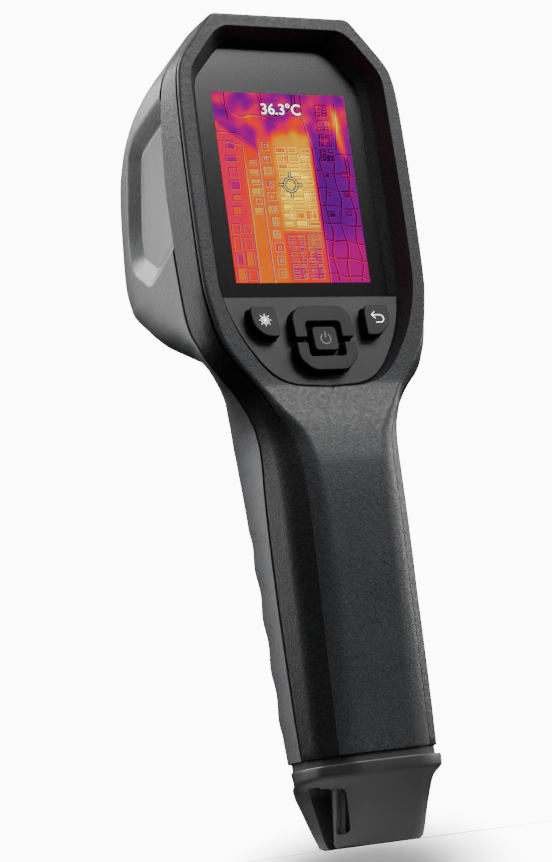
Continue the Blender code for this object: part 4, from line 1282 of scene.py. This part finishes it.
def board(name):
    """Green solder mask with darker copper tracks under it."""
    paint = Paint(name, 0.35)
    values = {"Vector": paint.place, "Scale": 420.0, "Randomness": 0.15}
    cells = paint.node("ShaderNodeTexVoronoi", values, feature="DISTANCE_TO_EDGE").outputs["Distance"]
    track = paint.remap(cells, 0.02, 0.09, 0.0, 1.0)
    cloth = paint.noise(0.4, 2.0)
    colour = paint.blend(track, (0.03, 0.16, 0.07), (0.008, 0.075, 0.03))
    return paint.finish(colour, paint.remap(cloth, 0.3, 0.7, 0.3, 0.45), paint.bump(track, 0.02))


def shrink_wrap(name):
    """Blue shrink film with soft creases."""
    paint = Paint(name, 0.3)
    crease = paint.noise(3.0, 3.0, (1, 1, 0.15))
    colour = paint.blend(paint.remap(crease, 0.35, 0.65, 0.0, 1.0), (0.01, 0.06, 0.2), (0.02, 0.1, 0.3))
    return paint.finish(colour, paint.remap(crease, 0.3, 0.7, 0.22, 0.4), paint.bump(crease, 0.05))


def glowing(name, colour, strength):
    """Ink that shows bright on the screen, with a faint dot structure. On the key icons the same glow is
    painted light.
    """
    paint = Paint(name, 0.3)
    dots = paint.noise(0.12, 1.0)
    shade = paint.blend(paint.remap(dots, 0.3, 0.7, 0.0, 0.15), colour, tuple(c * 0.8 for c in colour))
    paint.put("Emission Color", shade)
    paint.put("Emission Strength", strength)
    return paint.finish(shade)


def phosphor(name):
    """Yellow grains under a clear drop."""
    paint = Paint(name, 0.45)
    grain = paint.noise(0.1, 2.0)
    colour = paint.blend(grain, (0.85, 0.68, 0.1), (0.95, 0.85, 0.3))
    return paint.finish(colour, paint.remap(grain, 0.3, 0.7, 0.35, 0.6), paint.bump(grain, 0.01))


class Field:
    """A value in a material's node tree that can be used in ordinary sums."""

    def __init__(self, paint, value):
        self.paint = paint
        self.value = value

    def _do(self, operation, second, swap=False):
        second = second.value if isinstance(second, Field) else second
        pair = (second, self.value) if swap else (self.value, second)
        return Field(self.paint, self.paint.math(operation, *pair))

    def __add__(self, other):
        return self._do("ADD", other)

    __radd__ = __add__

    def __sub__(self, other):
        return self._do("SUBTRACT", other)

    def __rsub__(self, other):
        return self._do("SUBTRACT", other, swap=True)

    def __mul__(self, other):
        return self._do("MULTIPLY", other)

    __rmul__ = __mul__

    def __truediv__(self, other):
        return self._do("DIVIDE", other)

    def least(self, other):
        return self._do("MINIMUM", other)

    def step(self, start, end):
        """A smooth rise from 0 at start to 1 at end."""
        return Field(self.paint, self.paint.remap(self.value, start, end, interpolation_type="SMOOTHSTEP"))


def span(field, low, high, soft):
    """1 between two values, with soft edges."""
    return field.step(low - soft, low + soft) * (1 - field.step(high - soft, high + soft))


# The iron palette: how warm, and its colour.
IRON_PALETTE = [
    (0.0, (0.003, 0.0, 0.01)), (0.1, (0.034, 0.0, 0.1)), (0.22, (0.13, 0.0, 0.25)), (0.34, (0.25, 0.0, 0.26)),
    (0.44, (0.49, 0.0, 0.2)), (0.53, (0.85, 0.0, 0.1)), (0.62, (1.1, 0.03, 0.0)), (0.71, (1.0, 0.14, 0.0)),
    (0.8, (1.0, 0.32, 0.0)), (0.88, (1.05, 0.6, 0.0)), (1.0, (1.8, 1.35, 0.0)),
]


def heat_value(paint):
    """How warm each place of the picture is, from 0 to 1: a bright block, a warm strip and a cool side."""
    split = paint.node("ShaderNodeSeparateXYZ", {"Vector": paint.place})
    x = Field(paint, split.outputs["X"]) / MM
    z = Field(paint, split.outputs["Z"]) / MM
    drift = Field(paint, paint.noise(9.0, 2.0)) - 0.5
    swirl = Field(paint, paint.noise(5.5, 1.0)) - 0.5
    wobble = drift * 3.0
    slant = z + x.least(-8.0) * 0.7
    top = slant.step(168.5, 170.5) * (1 - x.step(-9.0, -7.0)) + x.step(-9.0, -7.0) * z.step(178.0, 184.5)
    right = (x + wobble * 0.4).step(6.6, 8.6)
    shade = right * z.step(148.0, 158.0) * (1 - z.step(175.0, 183.0)) * (1 - 0.45 * x.step(13.0, 19.0))
    block = span(x + wobble * 0.2, -3.8, 7.0, 0.7) * span(z, 154.0, 180.5, 1.4)
    core = span(x + wobble * 0.3, -2.6, 6.0, 2.0) * span(z, 157.0, 175.0, 4.5)
    column = span(x, -8.0, -3.8, 0.5) * span(z, 140.0, 178.0, 1.5)
    strip = span(x, -12.4, -8.0, 0.6) * (1 - z.step(168.0, 176.0))
    value = 0.61 + 0.1 * drift
    value = value - (1 - x.step(-14.6, -12.4)) * 0.06 * z.step(150.0, 160.0)
    value = value + strip * 0.11 + column * 0.1 + block * 0.2 + core * 0.1
    value = value - top * 0.22 * (1 - right) - right * 0.19 - shade * 0.2
    value = value + z.step(177.0, 183.0) * (swirl * 0.9 + 0.03)
    glow = span(x - (186.0 - z) * 0.13 + wobble * 0.3, 14.2, 16.0, 1.0) * span(z, 174.5, 187.0, 3.0)
    value = value + glow * 0.42
    grain = Field(paint, paint.noise(0.6, 3.0)) - 0.5
    return value + grain * 0.12


def heat_picture(name, shift=0.0):
    """A false-colour heat picture of an electrical cabinet, in the usual iron palette, warmer by shift."""
    paint = Paint(name, 0.3)
    ramp = paint.node("ShaderNodeValToRGB", {"Fac": (heat_value(paint) + shift).value})
    bar = ramp.color_ramp
    while len(bar.elements) < len(IRON_PALETTE):
        bar.elements.new(1.0)
    for element, (at, colour) in zip(bar.elements, IRON_PALETTE):
        element.position = at
        element.color = (*colour, 1.0)
    colour = ramp.outputs["Color"]
    paint.put("Emission Color", colour)
    paint.put("Emission Strength", SCREEN_GLOW)
    paint.put("Specular IOR Level", 0.0)
    return paint.finish(paint.blend(0.99, colour, (0.0, 0.0, 0.0)))


# ---------------------------------------------------------------------------------------------
# What everything is made of. The names are the record's material slots.
SCREEN_GLOW = 1.0
RECIPES = [
    (grained, [
        ("bezel_plastic", (0.0075, 0.0078, 0.0086), (0.042, 0.0432, 0.0464), 0.45, 0.42, 0.1, 0.25),
        ("frame_plastic", (0.002, 0.0021, 0.0023), (0.0165, 0.017, 0.0183), 0.42, 0.42, 0.13, 0.2),
        ("housing_rubber", (0.046, 0.047, 0.049), (0.085, 0.0865, 0.091), 0.4, 0.42, 0.08, 0.45),
    ]),
    (satin, [
        ("cap_plastic", (0.0175, 0.0175, 0.0192), (0.0222, 0.0222, 0.0243), 0.44),
        ("panel_plastic", (0.013, 0.0132, 0.014), (0.0165, 0.0168, 0.0177), 0.45, 0.16, 0.006, 0.2),
        ("key_rubber", (0.006, 0.0062, 0.0067), (0.0085, 0.0087, 0.0093), 0.55, 0.16, 0.006, 0.22),
        ("black_rubber", (0.012, 0.012, 0.013), (0.02, 0.02, 0.021), 0.7),
        # Near-black painted shade for the sunk walls round the screen and keys and for the pieces in the
        # seams' gaps.
        ("recess_black", (0.001, 0.001, 0.0011), (0.0022, 0.0022, 0.0025), 0.55, 0.3, 0.012, 0.15),
        ("wing_plastic", (0.07, 0.071, 0.074), (0.085, 0.0865, 0.09), 0.24, 0.16, 0.006, 0.7),
        ("outline_black", (0.004, 0.004, 0.004), (0.008, 0.008, 0.008), 0.5),
    ]),
    (glassy, [
        ("window_glass", (0.004, 0.004, 0.0045), (0.006, 0.006, 0.0065), 0.2),
        ("clear_glass", (0.9, 0.92, 0.93), (0.95, 0.96, 0.97), 0.03, 0.92),
        ("red_glass", (0.2, 0.005, 0.005), (0.3, 0.01, 0.01), 0.04, 0.5),
    ]),
    (metal, [
        ("steel", (0.36, 0.36, 0.37), (0.5, 0.5, 0.51), 0.3),
        ("brass", (0.55, 0.38, 0.14), (0.72, 0.52, 0.22), 0.28),
        ("black_metal", (0.03, 0.03, 0.032), (0.05, 0.05, 0.054), 0.4),
        ("germanium", (0.22, 0.2, 0.24), (0.3, 0.27, 0.33), 0.1, (1, 1, 1)),
        ("bright_reflector", (0.82, 0.83, 0.84), (0.9, 0.91, 0.92), 0.1),
    ]),
    (glowing, [
        # icon_white also glows on the key icons, where the glow is painted light.
        ("icon_white", (0.9, 0.92, 0.94), 2.0),
        ("icon_grey", (0.05, 0.05, 0.052), 0.0),
        ("aim_amber", (0.6, 0.5, 0.1), 1.0),
    ]),
    (heat_picture, [("screen",)]),
    (phosphor, [("led_phosphor",)]),
    (board, [("circuit_board",)]),
    (shrink_wrap, [("battery_wrap",)]),
]


def all_materials():
    """The record's slots, and a few finishes that only the looks need, each made by its recipe."""
    return {name: make(name, *values) for make, rows in RECIPES for name, *values in rows}


def dress(item, body, slot_name, stands_for=()):
    """Gives a piece its material and body, and the CAD nodes it stands for."""
    item.data.materials.clear()
    item.data.materials.append(PAINTS[slot_name])
    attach(item, body)
    if stands_for:
        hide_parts(*stands_for)
    return item


def icon(item, body, material):
    """Gives a piece that has no slot of its own a material and a body."""
    item.data.materials.clear()
    item.data.materials.append(material)
    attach(item, body)


def paint_cad():
    """The CAD nodes that show as they are take their own slot's material."""
    slots = {entry["node"]: entry["material_slot"] for entry in frame["record"]["subparts"]}
    for name, item in frame["nodes"].items():
        item.data.materials.clear()
        item.data.materials.append(PAINTS[slots[name]])


def build_shells():
    """The front shell, the side band, the rear cover and what closes their seams."""
    shell = thicken(front_shell(), 2.0, 0.3)
    open_front(shell)
    shell.data.shade_smooth()
    shell.data.set_sharp_from_angle(angle=math.radians(40))
    dress(shell, "housing", "housing_rubber", ["front_housing"])
    shell.data.materials.append(PAINTS["wing_plastic"])
    mark_wing_floor(shell)
    dress(thicken(side_band(), 2.0, 0.25), "housing", "frame_plastic", ["mid_frame"])
    # The seam's tongue and the collar at the foot sit in the gaps in near-black painted shade.
    icon(seam_lip(), "housing", PAINTS["recess_black"])
    icon(collar("cap_neck", 2.5, 3.5, 19.75, FOOT + 2.5), "housing", PAINTS["recess_black"])
    cover = thicken(rear_cover(), 1.0, 0.2)
    dress(cover, "housing", "bezel_plastic", ["rear_bezel"])
    # The sunk walls round the screen and keys are painted shade, near black.
    cover.data.materials.append(PAINTS["recess_black"])


def build_fittings():
    """The foot, the nose, the trigger, the flap, the window and the key panel."""
    dress(flatten_shading(end_cap()), "housing", "cap_plastic", ["end_cap"])
    dress(collar("cap_band", 0.75, 2.3, 19.7, 21.5), "housing", "black_rubber", ["end_cap_gasket"])
    dress(tripod_thread(), "housing", "brass", ["tripod_insert"])
    dress(flatten_shading(nose()), "housing", "black_metal", ["nose_barrel"])
    dress(lens_holder(), "housing", "black_metal", ["ir_lens_holder"])
    dress(lens(), "housing", "germanium", ["ir_lens"])
    dress(flatten_shading(trigger()), "trigger_body", "cap_plastic", ["trigger"])
    dress(flatten_shading(usb_flap()), "flap_body", "black_rubber", ["usb_flap"])
    dress(flatten_shading(window()), "housing", "window_glass", ["display_window"])
    dress(flatten_shading(keypad_panel()), "housing", "panel_plastic", ["keypad_panel"])


def build_screen():
    """The heat picture and its drawn detail."""
    low, high = SCREEN
    dress(plate("heat_picture", rectangle(*low, *high), 0.5, PICTURE_Y, facing_y), "housing", "screen")
    for item, material in picture_details():
        icon(item, "housing", material)


def build_keys():
    """The keys and their icons."""
    for name, body in KEY_BODIES.items():
        cap = slab(name + "_cap", key_outline(name), -1.6, KEY_TOP, on_panel, 0.3, 4)
        dress(flatten_shading(cap), body, "key_rubber", [name])
    # The light and back keys' icons take the glowing white ink, so their print glows: painted light.
    icon(sunburst_icon(), "light_key", PAINTS["icon_white"])
    icon(return_icon(), "back_key", PAINTS["icon_white"])
    icon(power_icon(), "power_key", PAINTS["icon_grey"])


def build_reading():
    """The temperature and the aim mark, each over a dark edging."""
    icon(lettering("reading_edge", (0.3, 186.35), EDGE_Y, 0.16), "housing", PAINTS["outline_black"])
    icon(lettering("reading", (0.1, 186.5), INK_Y), "housing", PAINTS["icon_white"])
    icon(crosshair("aim_edge", 0.95, EDGE_Y, 3.45), "housing", PAINTS["outline_black"])
    icon(crosshair("aim", 0.2, INK_Y, 3.3), "housing", PAINTS["aim_amber"])


def build_object():
    """Every piece that the looks replace or add."""
    build_shells()
    build_fittings()
    build_screen()
    build_keys()
    build_reading()


# ---------------------------------------------------------------------------------------------
# Camera, lights and floor.
CAMERA_AZIMUTH = math.radians(-26.53)
CAMERA_ELEVATION = math.radians(-11.0)
CAMERA_ROLL = math.radians(-7.75)
CAMERA_DISTANCE = 524.1
CAMERA_TARGET = Vector((-13.6, 0.0, 102.28))
CAMERA_LENS = 88.8
FLOOR_FADE = 0.06
# A grey patch in the backdrop, low behind the foot, is a painted shadow: its place, its size and its darkest
# grey.
PAINTED_SHADOW_ACROSS = 0.012
PAINTED_SHADOW_LEVEL = -0.019
PAINTED_SHADOW_HALF_WIDTH = 0.085
PAINTED_SHADOW_HALF_HEIGHT = 0.034
PAINTED_SHADOW_GREY = 0.42
SKY_WHITE = 12.0
SKY_FELT = 0.02
LIGHT_AIM = Vector((0.0, 0.0, 0.13))
LIGHT_DISTANCE = 1.1


def set_camera():
    """The photographer's place, with the camera body turned a little about its own axis."""
    back = Vector((math.sin(CAMERA_AZIMUTH) * math.cos(CAMERA_ELEVATION),
                   -math.cos(CAMERA_AZIMUTH) * math.cos(CAMERA_ELEVATION), math.sin(CAMERA_ELEVATION)))
    right = (-back).cross(Vector((0, 0, 1))).normalized()
    up = right.cross(-back).normalized()
    across = right * math.cos(CAMERA_ROLL) + up * math.sin(CAMERA_ROLL)
    upright = up * math.cos(CAMERA_ROLL) - right * math.sin(CAMERA_ROLL)
    data = bpy.data.cameras.new("camera")
    data.lens = CAMERA_LENS
    data.sensor_width = 36.0
    data.clip_start = 0.01
    data.clip_end = 50.0
    item = new_object("camera", data)
    place = Matrix((across, upright, back)).transposed().to_4x4()
    place.translation = (CAMERA_TARGET + back * CAMERA_DISTANCE) * MM
    item.matrix_world = place
    bpy.context.scene.camera = item


def softbox(name, height, bearing, size, power):
    """A square light aimed at the object, by height and bearing in degrees. The operator is at bearing 0."""
    up, turn = math.radians(height), math.radians(bearing)
    out = Vector((math.sin(turn) * math.cos(up), -math.cos(turn) * math.cos(up), math.sin(up)))
    data = bpy.data.lights.new(name, "AREA")
    data.shape = "RECTANGLE"
    data.size = size
    data.size_y = size
    data.energy = power
    item = new_object(name, data)
    item.location = LIGHT_AIM + out * LIGHT_DISTANCE
    item.rotation_mode = "QUATERNION"
    item.rotation_quaternion = (-out).to_track_quat("-Z", "Y")


def set_lights():
    """Eight softboxes round the object."""
    softbox("key", 40, 30, 0.5, 16.4)
    softbox("right_low", 8, 60, 0.4, 3.9)
    softbox("right_rim", 8, 100, 0.4, 4.2)
    softbox("left_fill", 40, -40, 0.5, 3.1)
    softbox("left_rim", 8, -140, 0.4, 2.6)
    softbox("wing_card", 17, -155, 0.26, 0.4)
    softbox("side_top", 40, -110, 0.5, 12.0)
    softbox("back_top", 40, -150, 0.5, 10.5)


def set_world():
    """White to the camera, with a painted soft grey shadow low behind the foot, and dim to the object."""
    world = bpy.data.worlds.new("studio")
    bpy.context.scene.world = world
    world.use_nodes = True
    sky = Tree(world.node_tree)
    sky.tree.nodes.clear()
    place = sky.node("ShaderNodeTexCoord").outputs["Generated"]

    def offset(direction, centre, half_width):
        """How far along a direction the view has turned, in half widths of the painted shadow, squared."""
        along_it = sky.node("ShaderNodeVectorMath", {0: place, 1: direction}, operation="DOT_PRODUCT")
        share = sky.math("MULTIPLY_ADD", along_it.outputs["Value"], 1 / half_width, -centre / half_width)
        return sky.math("MULTIPLY", share, share)

    across = offset((math.cos(CAMERA_AZIMUTH), math.sin(CAMERA_AZIMUTH), 0.0), PAINTED_SHADOW_ACROSS, PAINTED_SHADOW_HALF_WIDTH)
    total = sky.math("ADD", across, offset((0.0, 0.0, 1.0), PAINTED_SHADOW_LEVEL, PAINTED_SHADOW_HALF_HEIGHT))
    # The grey patch that the camera sees is painted shadow, not a shadow cast by the lights.
    painted_shadow = sky.remap(total, 0.0, 1.0, PAINTED_SHADOW_GREY, SKY_WHITE, interpolation_type="SMOOTHERSTEP")
    path = sky.node("ShaderNodeLightPath").outputs["Is Camera Ray"]
    seen = sky.node("ShaderNodeBackground", {"Color": (1, 1, 1), "Strength": painted_shadow})
    felt = sky.node("ShaderNodeBackground", {"Color": (0.9, 0.95, 1.0), "Strength": SKY_FELT})
    mix = sky.node("ShaderNodeMixShader", {0: path, 1: felt.outputs[0], 2: seen.outputs[0]})
    sky.node("ShaderNodeOutputWorld", {"Surface": mix.outputs[0]})


def set_floor():
    """A pale floor that fades out into the white of the studio. The lights cast real shadows on it, and its
    fade paints a grey pool that darkens towards the foot: painted shade.
    """
    shape = bmesh.new()
    bmesh.ops.create_circle(shape, cap_ends=True, segments=96, radius=FLOOR_FADE / MM)
    floor = from_bmesh("floor", shape)
    paint = Paint("floor_pale", 0.8)
    drift = paint.noise(60.0, 2.0)
    material = paint.finish(paint.blend(drift, (0.74, 0.74, 0.745), (0.78, 0.78, 0.785)))
    distance = paint.node("ShaderNodeVectorMath", {0: paint.place}, operation="LENGTH").outputs["Value"]
    # The fade keeps the floor solid near the foot and clear further out, which paints a pool of shade round
    # the foot.
    share = paint.math("DIVIDE", distance, FLOOR_FADE, clamp=True)
    solid = paint.math("POWER", paint.math("SUBTRACT", 1.0, paint.math("POWER", share, 2.0)), 2.0)
    clear = paint.node("ShaderNodeBsdfTransparent")
    mix = paint.node("ShaderNodeMixShader", {0: solid, 1: clear.outputs[0], 2: paint.shader.outputs[0]})
    paint.feed(paint.tree.nodes["Material Output"].inputs["Surface"], mix.outputs[0])
    floor.data.materials.append(material)


PAINTS = all_materials()
paint_cad()
build_object()
set_floor()
set_lights()
set_world()
set_camera()
